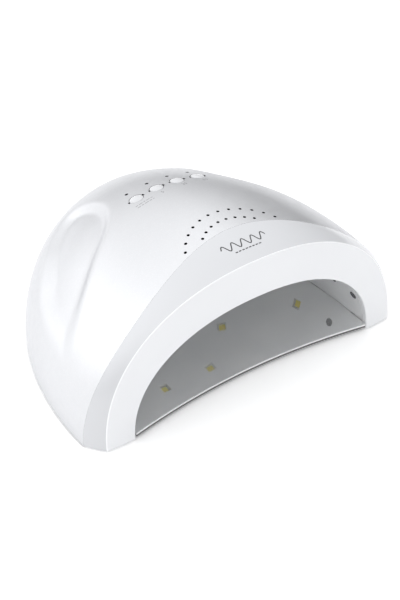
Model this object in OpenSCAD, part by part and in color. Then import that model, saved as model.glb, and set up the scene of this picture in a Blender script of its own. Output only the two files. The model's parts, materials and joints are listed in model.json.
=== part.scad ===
// Desk-top UV curing lamp for one hand.
// Millimetres. Origin: middle of the footprint, on the table. The opening faces -Y, +Z is up.

/* [Casing] */
// Overall width of the casing
body_w = 218; // [190:1:240]
// Overall depth of the casing
body_d = 180; // [165:1:210]
// Height of the roof above the table
body_h = 91.8; // [86:0.2:100]
// Gap between the casing's lower edge and the table
ground_gap = 1.2; // [0.8:0.1:2]
// Wall of the casing
shell_wall = 2.2; // [1.6:0.1:3]
// Distance from the front to the widest section
widest_from_front = 26.5; // [22:0.5:45]
// Distance from the front to the highest section
peak_from_front = 44.5; // [40:0.5:60]
// Reach of the plan curve ahead of the widest section
plan_front_reach = 150; // [120:1:240]
// Reach of the roof curve ahead of the highest section
roof_front_reach = 155; // [130:1:260]
// Power of the plan curve, where 2 is an ellipse
plan_power = 1.95; // [1.8:0.05:2.4]
// Power of the roof curve
roof_power = 2.1; // [1.9:0.05:2.4]
// Power of the arch across the casing
arch_power = 1.94; // [1.8:0.02:2.4]
// Depth of the two side grips
grip_depth = 3.4; // [1:0.2:5]

/* [Front bezel] */
// Half width of the front face at the table
face_half_w = 100; // [90:0.5:104]
// Height of the outer edge of the front face
face_h = 85.6; // [78:0.2:88]
// Power of the outer edge of the face
face_power = 2.2; // [2:0.05:2.6]
// Lean of the face: distance back for each mm of height
face_lean = 0.056; // [0:0.002:0.1]
// How far the face bows forward at the feet
face_bow = 2.6; // [0:0.1:4]
// Depth of the bevelled band at the feet
band_foot_depth = 12; // [9:0.5:20]
// Extra depth of the bevelled band at the top
band_top_rise = 16.6; // [8:0.2:20]
// Gap of the seam between band and casing
seam_gap = 0.2; // [0.1:0.05:0.5]
// Wall of the bezel
bezel_wall = 2.4; // [1.8:0.1:3.2]
// Depth of the opening's rim
rim_depth = 4; // [2.5:0.5:8]

/* [Hand cavity] */
// Half width of the opening at the table
opening_half_w = 82.3; // [74:0.1:88]
// Height of the opening
opening_h = 61.4; // [54:0.2:64]
// Power of the opening's arch
opening_power = 2.2; // [2:0.05:2.6]
// Depth of the cavity behind the face
cavity_depth = 148; // [130:1:150]
// Power of the cavity's plan
cavity_power = 2.8; // [2.2:0.1:3.4]
// Wall of the reflector
reflector_wall = 1.6; // [1.2:0.1:2.2]
// Height of the reflector's lower edge above the table
reflector_base = 5.3; // [5.2:0.1:7]

/* [Tray] */
// Top of the tray above the table
tray_top = 5; // [4.6:0.1:6]
// Thickness of the tray plate
tray_plate_t = 1.9; // [1.4:0.1:2.2]
// Thickness of the mirror sheet
mirror_t = 0.5; // [0.3:0.1:1]
// Sliding clearance round the tray
tray_fit = 0.3; // [0.2:0.05:0.6]
// Hollow of the tray's front edge
tray_hollow = 8.2; // [0:0.2:12]
// Width of each rail under the tray
rail_w = 6; // [4:0.5:10]

/* [Buttons] */
// Radius of a button cap
button_r = 4.2; // [3:0.1:5]
// Gap round a button cap
button_fit = 0.25; // [0.1:0.05:0.4]
// Distance between neighbouring buttons
button_pitch = 14.2; // [12:0.1:16]
// Distance from the front to the buttons
button_from_front = 91.5; // [85:0.5:95]
// Distance from the buttons back to the indicators
indicator_offset = 11; // [8:0.5:14]
// Radius of an indicator
indicator_r = 0.8; // [0.5:0.1:1.5]
// Travel of a button
button_travel = 0.4; // [0.25:0.05:0.6]
// Height of a cap above the casing
button_stand = 1; // [0.5:0.1:1.6]

/* [Vents] */
// Radius of the outer row of vents
vent_row_r = 34.7; // [28:0.1:36]
// Distance between the two rows
vent_row_gap = 8.6; // [6:0.1:10]
// Radius of one vent
vent_r = 0.9; // [0.6:0.1:1.4]
// Distance from the front to the centre of the rows
vent_centre_from_front = 10.8; // [10:0.1:14]

/* [Power inlet] */
// Radius of the inlet's opening
inlet_r = 3.1; // [2.8:0.1:3.4]
// Radius of the inlet's body
inlet_body_r = 5.4; // [4.8:0.1:6]
// Length of the inlet's body
inlet_len = 17; // [14:0.5:18]
// Height of the inlet above the table
inlet_z = 15; // [13:0.5:18]

/* [Fasteners] */
// Radius of a case screw's shank
screw_r = 1.4; // [1:0.1:1.6]
// Radius of a case screw's head
screw_head_r = 2.8; // [2.2:0.1:3.2]
// Clearance of a screw in its hole
screw_fit = 0.05; // [0.02:0.01:0.1]

/* [Hidden] */
$fn = 48;

front_y = -body_d / 2;
back_y = body_d / 2;
widest_y = front_y + widest_from_front;
peak_y = front_y + peak_from_front;
arch_steps = 48;
shell_rows = 22;
cut_over = 1;

// ---- curves -------------------------------------------------------------------------------------

// One quarter of a rounded curve: 1 at u = 0, falling to 0 at u = 1.
function falloff(u, power) = pow(max(0, 1 - pow(min(1, abs(u)), power)), 1 / power);

// A signed power keeps both halves of an arch symmetric.
function signed_pow(value, power) = sign(value) * pow(abs(value), power);

// Half width and roof height of the casing at y, for a surface lying inset inside the outer one.
function casing_half_w(y, inset) =
    (body_w / 2 - inset)
    * falloff((y - widest_y) / (y < widest_y ? plan_front_reach : back_y - inset - widest_y), plan_power);
function casing_top(y, inset) =
    ground_gap + (body_h - ground_gap - inset)
    * falloff((y - peak_y) / (y < peak_y ? roof_front_reach : back_y - inset - peak_y), roof_power);

// Height of the casing's surface above a plan point.
function casing_z(x, y, inset) =
    ground_gap + (casing_top(y, inset) - ground_gap) * falloff(x / casing_half_w(y, inset), arch_power);

// Depth of the side grips: a long oval hollow, steep along its upper edge and soft below.
grip_centre = [-0.6, 70.5];
grip_turn = 53;
grip_half_len = 50;
grip_half_w = 24;
grip_soft_power = 1.4;
grip_girth_r = 95;
function grip_local(y, arch) = let (
        run = y - grip_centre[0],
        girth = min(arch, 180 - arch) * PI / 180 * grip_girth_r - grip_centre[1]
    ) [
        (run * cos(grip_turn) + girth * sin(grip_turn)) / grip_half_len,
        (run * sin(grip_turn) - girth * cos(grip_turn)) / grip_half_w
    ];
function grip_inset(y, arch) = let (
        place = grip_local(y, arch),
        reach = norm(place)
    ) grip_depth * pow(max(0, 1 - reach * reach), grip_soft_power);

// A point of the casing at y and arch angle (0 and 180 at the table, 90 at the roof).
function casing_point(y, arch, inset) = let (
        deep = inset + grip_inset(y, arch),
        half_w = casing_half_w(y, inset) - (deep - inset),
        top = casing_top(y, inset) - (deep - inset)
    ) [
        half_w * signed_pow(cos(arch), 2 / arch_power),
        y,
        ground_gap + (top - ground_gap) * pow(sin(arch), 2 / arch_power)
    ];

// Where the bevelled band meets the casing, for an arch angle.
function band_y(arch) = let (spread = min(1, 1.13 * abs(cos(arch))))
    front_y + band_foot_depth + band_top_rise * pow(cos(90 * spread), 2);

// The front face leans back and its feet stand forward of its middle.
function face_y(x, z) =
    front_y + face_lean * z + face_bow * (pow(x / 100, 2) - pow(opening_half_w / 100, 2));

// A point on an arch of the front face, set back from the face by a depth.
function face_point(arch, half_w, height, power, depth) = let (
        x = half_w * signed_pow(cos(arch), 2 / power),
        z = ground_gap + (height - ground_gap) * pow(sin(arch), 2 / power)
    ) [x, face_y(x, z) + depth, z];

// Cavity: half width and height at a distance behind the opening's rim.
cavity_start = rim_depth + seam_gap;
cavity_len = cavity_depth - cavity_start;
function cavity_point(run, arch, grow) = let (
        u = run / (cavity_len + grow),
        half_w = (opening_half_w + grow) * falloff(u, cavity_power),
        height = (opening_h + grow - reflector_base) * falloff(u, cavity_power),
        x = half_w * signed_pow(cos(arch), 2 / opening_power),
        z = reflector_base + height * pow(sin(arch), 2 / opening_power),
        face_share = 1 - run / cavity_len
    ) [x, front_y + cavity_start + run + face_share * (face_y(x, z) - front_y), z];

// Outline of the tray and of the pocket round it.
tray_half_w = opening_half_w - 0.7;
tray_back_y = front_y + cavity_depth;
tray_straight_y = front_y + 40;
function tray_side(y, grow) =
    (tray_half_w + grow)
    * falloff(max(0, y - tray_straight_y) / (tray_back_y + grow - tray_straight_y), 2.2);
outline_steps = 24;
function ease(share) = sin(90 * share);
function tray_back_curve(grow) = [
    for (i = [0 : outline_steps])
        let (y = tray_straight_y + (tray_back_y + grow - tray_straight_y) * ease(i / outline_steps))
        [tray_side(y, grow), y]
];
function mirrored(points) = [
    for (i = [len(points) - 1 : -1 : 0]) if (points[i][0] > 0.001) [-points[i][0], points[i][1]]
];

// ---- mesh helpers -------------------------------------------------------------------------------

function flat(lists) = [for (list = lists) for (item = list) item];

// A closed skin between an outer and an inner grid. Both grids end in one point at the back.
module domed_skin(outer, inner, outer_tip, inner_tip) {
    rows = len(outer);
    cols = len(outer[0]);
    count = rows * cols;
    tip_out = 2 * count;
    tip_in = tip_out + 1;
    points = concat(flat(outer), flat(inner), [outer_tip, inner_tip]);
    faces = concat(
        [for (r = [0 : rows - 2]) for (c = [0 : cols - 2]) let (k = r * cols + c)
            each [[k, k + 1, k + cols + 1], [k, k + cols + 1, k + cols]]],
        [for (r = [0 : rows - 2]) for (c = [0 : cols - 2]) let (k = count + r * cols + c)
            each [[k, k + cols + 1, k + 1], [k, k + cols, k + cols + 1]]],
        [for (c = [0 : cols - 2]) let (k = (rows - 1) * cols + c) [k, k + 1, tip_out]],
        [for (c = [0 : cols - 2]) let (k = count + (rows - 1) * cols + c) [k, tip_in, k + 1]],
        [for (c = [0 : cols - 2]) each [[c, count + c + 1, c + 1], [c, count + c, count + c + 1]]],
        [for (r = [0 : rows - 2]) let (k = r * cols, m = count + k)
            each [[k, k + cols, m + cols], [k, m + cols, m]]],
        [for (r = [0 : rows - 2]) let (k = r * cols + cols - 1, m = count + k)
            each [[k, m + cols, k + cols], [k, m, m + cols]]],
        let (k = (rows - 1) * cols, m = count + k)
            [[k, tip_out, tip_in], [k, tip_in, m]],
        let (k = rows * cols - 1, m = count + k)
            [[k, tip_in, tip_out], [k, m, tip_in]]
    );
    polyhedron(points, faces);
}

// A closed bar: equal rings of four-sided stations, each station a chain of quads.
module arch_bar(stations) {
    ring = len(stations[0]);
    half = ring / 2;
    last = (len(stations) - 1) * ring;
    faces = concat(
        [for (s = [0 : len(stations) - 2]) for (k = [0 : ring - 1])
            let (a = s * ring + k, b = s * ring + (k + 1) % ring, c = b + ring, d = a + ring)
            each [[a, c, b], [a, d, c]]],
        [for (k = [0 : half - 2]) let (a = k, b = k + 1, c = ring - 2 - k, d = ring - 1 - k)
            each [[a, b, c], [a, c, d]]],
        [for (k = [0 : half - 2])
            let (a = last + k, b = last + k + 1, c = last + ring - 2 - k, d = last + ring - 1 - k)
            each [[a, c, b], [a, d, c]]]
    );
    polyhedron(flat(stations), faces);
}

// A round lead along a route of points.
module lead(route, radius) {
    sides = 8;
    last = len(route) - 1;
    function turned(k) = 360 * k / sides;
    rings = [for (i = [0 : last]) let (
            ahead = route[min(last, i + 1)] - route[max(0, i - 1)],
            along = ahead / norm(ahead),
            guide = abs(along[2]) > 0.9 ? [1, 0, 0] : [0, 0, 1],
            side = cross(along, guide) / norm(cross(along, guide)),
            up = cross(side, along)
        ) [for (k = [0 : sides - 1]) route[i] + radius * (cos(turned(k)) * side + sin(turned(k)) * up)]];
    points = concat(flat(rings), [route[0], route[last]]);
    first_cap = sides * (last + 1);
    faces = concat(
        [for (i = [0 : last - 1]) for (k = [0 : sides - 1])
            let (a = i * sides + k, b = i * sides + (k + 1) % sides)
            each [[a, b + sides, b], [a, a + sides, b + sides]]],
        [for (k = [0 : sides - 1]) [first_cap, k, (k + 1) % sides]],
        [for (k = [0 : sides - 1]) [first_cap + 1, last * sides + (k + 1) % sides, last * sides + k]]
    );
    polyhedron(points, faces);
}

// ---- control panel frame ------------------------------------------------------------------------

button_y = front_y + button_from_front;
panel_z = casing_z(0, button_y, 0);
panel_tilt = atan((panel_z - casing_z(0, button_y + indicator_offset, 0)) / indicator_offset);
module on_panel() {
    translate([0, button_y, panel_z]) rotate([-panel_tilt, 0, 0]) children();
}
// Height of the casing's surface in the panel's own frame.
function panel_surface(x, back, inset = 0) =
    (casing_z(x, button_y + back * cos(panel_tilt), inset) - panel_z) * cos(panel_tilt)
    + back * cos(panel_tilt) * sin(panel_tilt);
panel_cut_low = -8;
panel_cut_h = 14;
notch_w = 1.6;
notch_end = button_r + 0.9;
board_drop = 14;
board_t = 1.6;
board_x = 70;
board_front = -7;
board_back = 16;
switch_h = 4;
switch_size = 6;
plunger_r = 1.7;
function button_x(index) = (index - 1.5) * button_pitch;
function button_top(index) = panel_surface(button_x(index), 0) + button_stand;
plunger_len = 2.4;
plunger_spare = 0.6;
plunger_top = -board_drop + switch_h + 1.5;
plunger_low = plunger_top - plunger_len;
board_post_x = 31;
board_post_r = 2.4;
small_screw_r = 0.9;
small_head_r = 1.8;
small_head_h = 1;
small_hole_depth = 5;
board_posts = [
    [-board_post_x, board_front + 3], [board_post_x, board_front + 3],
    [-board_post_x, board_back - 3], [board_post_x, board_back - 3]
];

// ---- power inlet --------------------------------------------------------------------------------

// Distance from the peak at which the roof line falls to a height.
function roof_back_y(z) =
    peak_y + (back_y - peak_y) * falloff((z - ground_gap) / (body_h - ground_gap), roof_power);
inlet_face_y = roof_back_y(inlet_z + inlet_body_r) - 0.4;
inlet_back_y = inlet_face_y - inlet_len;
inlet_cut_len = 14;
inlet_hole_depth = 10;
pin_r = 1.2;
pin_len = 9;
nut_r = 8;
nut_t = 2;
nut_from_end = 11.5;
rest_w = 14;
rest_len = 7;

// ---- frame, feet and screws ---------------------------------------------------------------------

frame_fit = 0.6;
frame_top = tray_top + 0.2;
rail_top = tray_top - tray_plate_t - mirror_t - 0.2;
frame_front_y = front_y + band_foot_depth + 2;
frame_back_y = back_y - shell_wall - frame_fit;
frame_steps = 30;
function frame_outer_curve() = [
    for (i = [0 : frame_steps])
        let (y = frame_front_y + (frame_back_y - frame_front_y) * ease(i / frame_steps))
        [casing_half_w(y, shell_wall + frame_fit), y]
];
screw_head_h = 1.5;
screw_head_fit = 0.2;
screw_len = 13;
screw_hole_depth = 12;
screw_slot_len = 3.6;
screw_slot_w = 0.6;
screw_slot_h = 0.6;
screw_sink = 0.1;
boss_r = 3.6;
boss_fit = 0.3;
function frame_mid_x(y) = (casing_half_w(y, shell_wall) + tray_side(y, tray_fit)) / 2;
screw_ys = [front_y + 24, front_y + 84];
rear_screw = [34, tray_back_y + 7];
screw_places = concat(
    [for (y = screw_ys) for (side = [-1, 1]) [side * (frame_mid_x(y) + 1), y]],
    [for (side = [-1, 1]) [side * rear_screw[0], rear_screw[1]]]
);
// Height at which a boss's outer side runs into the casing's wall.
function boss_top(place) = let (outer = place * (1 + boss_r / norm(place)))
    casing_z(outer[0], outer[1], shell_wall) + 0.5;
foot_r = 4.6;
foot_pocket = 0.8;
foot_places = [
    for (y = [front_y + 38, front_y + 116]) for (side = [-1, 1]) [side * frame_mid_x(y), y]
];
magnet_r = 3;
magnet_h = 2;
magnet_share = 0.27;
magnet_x = magnet_share * tray_half_w;
catch_r = 3;
catch_t = 1;

// ---- power electronics --------------------------------------------------------------------------

power_w = 62;
power_front = front_y + 34;
power_back = front_y + 76;
power_z = opening_h + 6.5;
power_posts = [
    for (x = [-1, 1]) for (y = [power_front + 3.5, power_back - 3.5]) [x * (power_w / 2 - 3.5), y]
];
power_post_r = 2.6;
post_hole_depth = 4;
post_spare = 0.5;

// ---- LEDs and sensors ---------------------------------------------------------------------------

// Each entry: percent of the way from the opening's rim to the back of the cavity, and the arch
// angle of one LED, repeated on both sides.
led_plan = [
    [15.3, 40], [15.3, 72], [37.55, 19], [45.9, 79], [60.5, 58.5], [75.1, 20],
    [77.9, 80], [87.6, 48], [90.4, 78], [57, 14], [72.3, 40], [13.9, 58]
];
led_spots = [for (plan = led_plan) [plan[0] / 100 * cavity_len, plan[1]]];
led_size = 4.4;
led_h = 1;
led_window = 6;
led_board_size = 12;
led_board_t = 1.6;
led_board_gap = 1;
led_low = -reflector_wall - led_board_gap;
// Each entry: distance behind the rim and arch angle of one infrared sensor, on both sides.
sensor_spots = [[7, 13.5], [25, 15.5]];
sensor_r = 2.6;
window_spare = 1.2;
sensor_body_r = 1.5;
sensor_body_h = 3;
sensor_board_low = -7;
sensor_board_size = [9, 11, 1];
wall_cut_low = -5;
wall_cut_h = 8;

// Places children on the cavity wall, with +Z pointing into the cavity.
module on_cavity(run, arch, side) {
    step = 0.5;
    here = cavity_point(run, arch, 0);
    along = cavity_point(run + step, arch, 0) - here;
    across = cavity_point(run, arch + step, 0) - here;
    inward = cross(across, along) / norm(cross(across, along));
    pitch = acos(inward[2]);
    turn = atan2(inward[1], inward[0]);
    mirror([side < 0 ? 1 : 0, 0, 0]) translate(here) rotate([0, pitch, turn]) rotate([0, 0, -turn])
        children();
}
module each_led() {
    for (spot = led_spots) for (side = [-1, 1]) on_cavity(spot[0], spot[1], side) children();
}
module each_sensor() {
    for (spot = sensor_spots) for (side = [-1, 1]) on_cavity(spot[0], spot[1], side) children();
}
module block(size, low) {
    translate([-size[0] / 2, -size[1] / 2, low]) cube(size);
}

// ---- sub-parts ----------------------------------------------------------------------------------

module casing_skin() {
    function row_y(arch, share, inset) =
        band_y(arch) + (back_y - inset - band_y(arch)) * ease(share);
    function grid(inset) = [
        for (r = [0 : shell_rows - 1]) [
            for (c = [0 : arch_steps])
                let (arch = 180 * c / arch_steps)
                casing_point(row_y(arch, r / shell_rows, inset), arch, inset)
        ]
    ];
    domed_skin(grid(0), grid(shell_wall), [0, back_y, ground_gap], [0, back_y - shell_wall, ground_gap]);
}

vent_pitch_outer = 10.9;
vent_pitch_inner = 11.9;
vent_cut_over = 3;
vent_centre_y = front_y + vent_centre_from_front;
module vent_row(radius, pitch, count) {
    for (i = [0 : count - 1]) let (angle = 90 + (i - (count - 1) / 2) * pitch,
            x = radius * cos(angle), y = vent_centre_y + radius * sin(angle))
        translate([x, y, casing_z(x, y, 0) - shell_wall - vent_cut_over])
            cylinder(r = vent_r, h = shell_wall + 2 * vent_cut_over, $fn = 16);
}

module top_shell() {
    color("gainsboro") difference() {
        union() {
            casing_skin();
            for (place = screw_places)
                translate([place[0], place[1], frame_top + boss_fit])
                    cylinder(r = boss_r, h = boss_top(place) - frame_top - boss_fit);
            on_panel() for (place = board_posts)
                translate([place[0], place[1], board_t - board_drop])
                    cylinder(
                        r = board_post_r,
                        h = panel_surface(place[0], place[1]) - shell_wall + 1 - board_t + board_drop
                    );
        }
        vent_row(vent_row_r, vent_pitch_outer, 12);
        vent_row(vent_row_r - vent_row_gap, vent_pitch_inner, 8);
        on_panel() for (i = [0 : 3]) {
            translate([button_x(i), 0, panel_cut_low]) cylinder(r = button_r + button_fit, h = panel_cut_h);
            translate([button_x(i), 0, 0]) block([2 * notch_end, notch_w, panel_cut_h], panel_cut_low);
            translate([button_x(i), indicator_offset, panel_cut_low])
                cylinder(r = indicator_r + screw_fit, h = panel_cut_h);
        }
        on_panel() for (place = board_posts)
            translate([place[0], place[1], board_t - board_drop - cut_over])
                cylinder(r = small_screw_r + screw_fit, h = small_hole_depth + cut_over);
        for (place = screw_places)
            translate([place[0], place[1], frame_top])
                cylinder(r = screw_r + screw_fit, h = screw_hole_depth);
        translate([0, back_y + 2, inlet_z]) rotate([90, 0, 0])
            cylinder(r = inlet_body_r + screw_fit, h = inlet_cut_len);
    }
}

module front_bezel() {
    function station(arch) = let (
            edge = casing_point(band_y(arch), arch, 0),
            inner = casing_point(band_y(arch), arch, shell_wall),
            gap = [0, -seam_gap, 0]
        ) [
            edge + gap,
            face_point(arch, face_half_w, face_h, face_power, 0),
            face_point(arch, opening_half_w, opening_h, opening_power, 0),
            face_point(arch, opening_half_w, opening_h, opening_power, rim_depth),
            face_point(arch, opening_half_w + bezel_wall, opening_h + bezel_wall, opening_power, rim_depth),
            face_point(arch, opening_half_w + bezel_wall, opening_h + bezel_wall, opening_power, bezel_wall),
            face_point(arch, face_half_w - bezel_wall / 2, face_h - bezel_wall / 2, face_power, bezel_wall),
            inner + gap
        ];
    color("white") arch_bar([for (c = [0 : arch_steps]) station(180 * c / arch_steps)]);
}

reflector_rows = 16;
module reflector() {
    function grid(grow) = [
        for (r = [0 : reflector_rows - 1]) [
            for (c = [0 : arch_steps / 2])
                cavity_point((cavity_len + grow) * ease(r / reflector_rows), 360 * c / arch_steps, grow)
        ]
    ];
    function tip(grow) = [0, front_y + cavity_depth + grow, reflector_base];
    color("darkgray") difference() {
        union() {
            domed_skin(grid(reflector_wall), grid(0), tip(reflector_wall), tip(0));
            for (place = power_posts)
                translate([place[0], place[1], reflector_roof(place[0], place[1])])
                    cylinder(r = power_post_r, h = power_z - reflector_roof(place[0], place[1]));
        }
        each_led() block([led_window, led_window, wall_cut_h], wall_cut_low);
        each_sensor() translate([0, 0, wall_cut_low])
            cylinder(r = sensor_r + screw_fit, h = wall_cut_h, $fn = 24);
        for (place = power_posts)
            translate([place[0], place[1], power_z - post_hole_depth])
                cylinder(r = small_screw_r + screw_fit, h = post_hole_depth + cut_over);
    }
}
// Height inside the reflector's wall above a plan point.
function reflector_roof(x, y) = let (
        run = y - front_y - cavity_start,
        fall = falloff(run / cavity_len, cavity_power),
        half_w = opening_half_w * fall
    ) reflector_base + (opening_h - reflector_base) * fall * falloff(x / half_w, opening_power)
        + reflector_wall / 2;

module base_frame() {
    outer = frame_outer_curve();
    pocket = concat([[tray_half_w + tray_fit, frame_front_y]], tray_back_curve(tray_fit));
    rail = concat([[tray_half_w - rail_w, frame_front_y]], tray_back_curve(-rail_w));
    module ring(inner, low, high) {
        translate([0, 0, low]) linear_extrude(high - low) polygon(concat(
            outer,
            mirrored(outer),
            [for (p = inner) if (p[0] > 0.001) [-p[0], p[1]]],
            [for (i = [len(inner) - 1 : -1 : 0]) inner[i]]
        ));
    }
    // The piece that closes one foot of the bezel.
    module sole() {
        translate([0, 0, ground_gap]) linear_extrude(rail_top - ground_gap) polygon([
            [opening_half_w + bezel_wall + 0.5, front_y + bezel_wall + 0.6],
            [face_half_w - bezel_wall, front_y + bezel_wall + 1.4],
            [casing_half_w(frame_front_y, shell_wall) - 1.6, frame_front_y - 1.2],
            [casing_half_w(frame_front_y, shell_wall) - 1.6, frame_front_y + 1],
            [opening_half_w + bezel_wall + 0.5, frame_front_y + 1]
        ]);
    }
    color("whitesmoke") difference() {
        union() {
            ring(rail, ground_gap, rail_top);
            ring(pocket, rail_top - 0.1, frame_top);
            translate([-rest_w / 2, inlet_back_y + 1, frame_top - 0.1])
                cube([rest_w, rest_len, inlet_z - frame_top - 2]);
            for (side = [0, 1]) mirror([side, 0, 0]) sole();
        }
        for (place = screw_places) translate([place[0], place[1], 0]) {
            cylinder(r = screw_r + screw_fit, h = frame_top + cut_over);
            cylinder(r = screw_head_r + screw_head_fit, h = ground_gap + screw_head_h + screw_sink);
        }
        for (place = foot_places)
            translate([place[0], place[1], 0]) cylinder(r = foot_r + screw_fit, h = ground_gap + foot_pocket);
        for (side = [-1, 1])
            translate([side * magnet_x, magnet_y, frame_top - magnet_h])
                cylinder(r = magnet_r + screw_fit, h = magnet_h + cut_over);
        translate([0, back_y, inlet_z]) rotate([90, 0, 0]) cylinder(r = inlet_body_r + screw_fit, h = 60);
    }
}
magnet_y = tray_back_y + magnet_r + 1.2;

module rubber_feet() {
    color("dimgray") for (place = foot_places)
        translate([place[0], place[1], 0]) cylinder(r = foot_r, h = ground_gap + foot_pocket);
}

module case_screws() {
    color("silver") for (place = screw_places)
        translate([place[0], place[1], ground_gap + screw_sink]) difference() {
            union() {
                cylinder(r = screw_head_r, h = screw_head_h);
                cylinder(r = screw_r, h = screw_len);
            }
            block([screw_slot_len, screw_slot_w, cut_over + screw_slot_h], -cut_over);
            block([screw_slot_w, screw_slot_len, cut_over + screw_slot_h], -cut_over);
        }
}

module frame_magnets() {
    color("silver") for (side = [-1, 1])
        translate([side * magnet_x, magnet_y, frame_top - magnet_h]) cylinder(r = magnet_r, h = magnet_h);
}

module tray_outline() {
    side = tray_back_curve(0);
    front_steps = 24;
    front_arc = [for (i = [0 : front_steps]) let (x = tray_half_w * (2 * i / front_steps - 1))
        [x, front_y + 0.5 + tray_hollow * (1 - pow(x / tray_half_w, 2))]];
    polygon(concat(front_arc, side, mirrored(side)));
}
tray_bottom = tray_top - tray_plate_t - mirror_t;
module tray_plate() {
    color("lightgray") difference() {
        translate([0, 0, tray_bottom]) linear_extrude(tray_plate_t) tray_outline();
        for (side = [-1, 1])
            translate([side * magnet_x, catch_y, tray_bottom - cut_over])
                cylinder(r = catch_r + screw_fit, h = catch_t + cut_over);
    }
}
catch_y = tray_back_y - catch_r - 4;
module tray_mirror() {
    color("silver") translate([0, 0, tray_top - mirror_t]) linear_extrude(mirror_t) tray_outline();
}
module tray_catches() {
    color("gray") for (side = [-1, 1])
        translate([side * magnet_x, catch_y, tray_bottom]) cylinder(r = catch_r, h = catch_t);
}

skirt_r = button_r + 0.8;
skirt_clearance = 0.35;
// The skirt under a cap lies below the lowest part of the casing's wall over it.
function skirt_top(index) = let (outer_x = abs(button_x(index)) + skirt_r)
    min([for (back = [-skirt_r, 0, skirt_r]) panel_surface(outer_x, back, shell_wall)]) - skirt_clearance;
module button(index) {
    top = button_top(index);
    dome_r = (button_r * button_r + button_stand * button_stand) / (2 * button_stand);
    color("white") on_panel() translate([button_x(index), 0, 0]) {
        intersection() {
            translate([0, 0, plunger_top]) cylinder(r = button_r, h = top - plunger_top);
            translate([0, 0, top - dome_r]) sphere(r = dome_r, $fn = 96);
        }
        translate([0, 0, plunger_top]) cylinder(r = skirt_r, h = skirt_top(index) - plunger_top);
    }
}
module button_1() { button(0); }
module button_2() { button(1); }
module button_3() { button(2); }
module button_4() { button(3); }

module switch_plunger(index) {
    color("dimgray") on_panel() translate([button_x(index), 0, plunger_low])
        cylinder(r = plunger_r, h = plunger_len);
}
module switch_plunger_1() { switch_plunger(0); }
module switch_plunger_2() { switch_plunger(1); }
module switch_plunger_3() { switch_plunger(2); }
module switch_plunger_4() { switch_plunger(3); }

module control_board() {
    color("darkgreen") on_panel() difference() {
        translate([-board_x / 2, board_front, -board_drop])
            cube([board_x, board_back - board_front, board_t]);
        for (place = board_posts)
            translate([place[0], place[1], -board_drop - cut_over])
                cylinder(r = small_screw_r + screw_fit, h = board_t + 2 * cut_over);
    }
}
module board_screws() {
    color("silver") on_panel() for (place = board_posts) translate([place[0], place[1], -board_drop]) {
        translate([0, 0, -small_head_h]) cylinder(r = small_head_r, h = small_head_h);
        cylinder(r = small_screw_r, h = board_t + small_hole_depth - 1);
    }
}
module tact_switches() {
    color("black") on_panel() for (i = [0 : 3]) translate([button_x(i), 0, 0]) difference() {
        block([switch_size, switch_size, switch_h - board_t], board_t - board_drop);
        translate([0, 0, plunger_low - button_travel - plunger_spare])
            cylinder(r = plunger_r + screw_fit, h = switch_h);
    }
}
indicator_led_size = [3, 1.6, 1];
indicator_low = board_t - board_drop + indicator_led_size[2] + 0.2;
lens_foot_r = 1.8;
lens_foot_h = 3;
module indicator_lenses() {
    color("white") on_panel() for (i = [0 : 3]) translate([button_x(i), indicator_offset, indicator_low]) {
        cylinder(
            r = indicator_r,
            h = panel_surface(button_x(i), indicator_offset) - 0.3 - indicator_low
        );
        cylinder(r = lens_foot_r, h = lens_foot_h);
    }
}
module indicator_leds() {
    color("lightyellow") on_panel() for (i = [0 : 3])
        translate([button_x(i), indicator_offset, board_t - board_drop]) block(indicator_led_size, 0);
}
chip_size = [10, 7.6, 1.6];
module timer_chip() {
    color("black") on_panel() block(chip_size, -board_drop - chip_size[2]);
}

module led_boards() {
    color("silver") each_led() block([led_board_size, led_board_size, led_board_t], led_low - led_board_t);
}
module led_packages() {
    color("gold") each_led() block([led_size, led_size, led_h], led_low);
}
module sensor_windows() {
    color("black") each_sensor() translate([0, 0, -reflector_wall - window_spare])
        cylinder(r = sensor_r, h = reflector_wall + window_spare, $fn = 24);
}
module sensor_boards() {
    color("darkgreen") each_sensor() block(sensor_board_size, sensor_board_low);
}
module ir_sensors() {
    color("dimgray") each_sensor() translate([0, 0, sensor_board_low + sensor_board_size[2]])
        cylinder(r = sensor_body_r, h = sensor_body_h);
}

module power_board() {
    color("darkgreen") difference() {
        translate([-power_w / 2, power_front, power_z]) cube([power_w, power_back - power_front, board_t]);
        for (place = power_posts)
            translate([place[0], place[1], power_z - cut_over])
                cylinder(r = small_screw_r + screw_fit, h = board_t + 2 * cut_over);
    }
}
module power_screws() {
    color("silver") for (place = power_posts) translate([place[0], place[1], power_z]) {
        translate([0, 0, post_spare - post_hole_depth])
            cylinder(r = small_screw_r, h = post_hole_depth - post_spare + board_t);
        translate([0, 0, board_t]) cylinder(r = small_head_r, h = small_head_h);
    }
}
part_z = power_z + board_t;
choke_r = 7;
choke_hole_r = 3;
choke_h = 6;
capacitor_r = 4;
capacitor_h = 11;
driver_size = [8, 5, 1.6];
sink_size = [18, 12, 9];
sink_slot_w = 1.8;
sink_pitch = 3.4;
sink_foot = 2;
connector_size = [8, 5, 5];
panel_lead_x = 20;
lead_start = 2.4;
module choke() {
    color("saddlebrown") translate([-12, power_front + 20, part_z]) difference() {
        cylinder(r = choke_r, h = choke_h);
        translate([0, 0, -cut_over]) cylinder(r = choke_hole_r, h = choke_h + 2 * cut_over);
    }
}
module capacitors() {
    color("midnightblue") for (x = [6, 16])
        translate([x, power_front + 12, part_z]) cylinder(r = capacitor_r, h = capacitor_h);
}
module driver_chip() {
    color("black") translate([-4, power_front + 31, part_z]) block(driver_size, 0);
}
module heat_sink() {
    color("gray") translate([16, power_front + 25, part_z]) difference() {
        block(sink_size, 0);
        for (k = [-2 : 2]) translate([k * sink_pitch, 0, sink_foot])
            block([sink_slot_w, sink_size[1] + 2 * cut_over, sink_size[2]], 0);
    }
}
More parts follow.
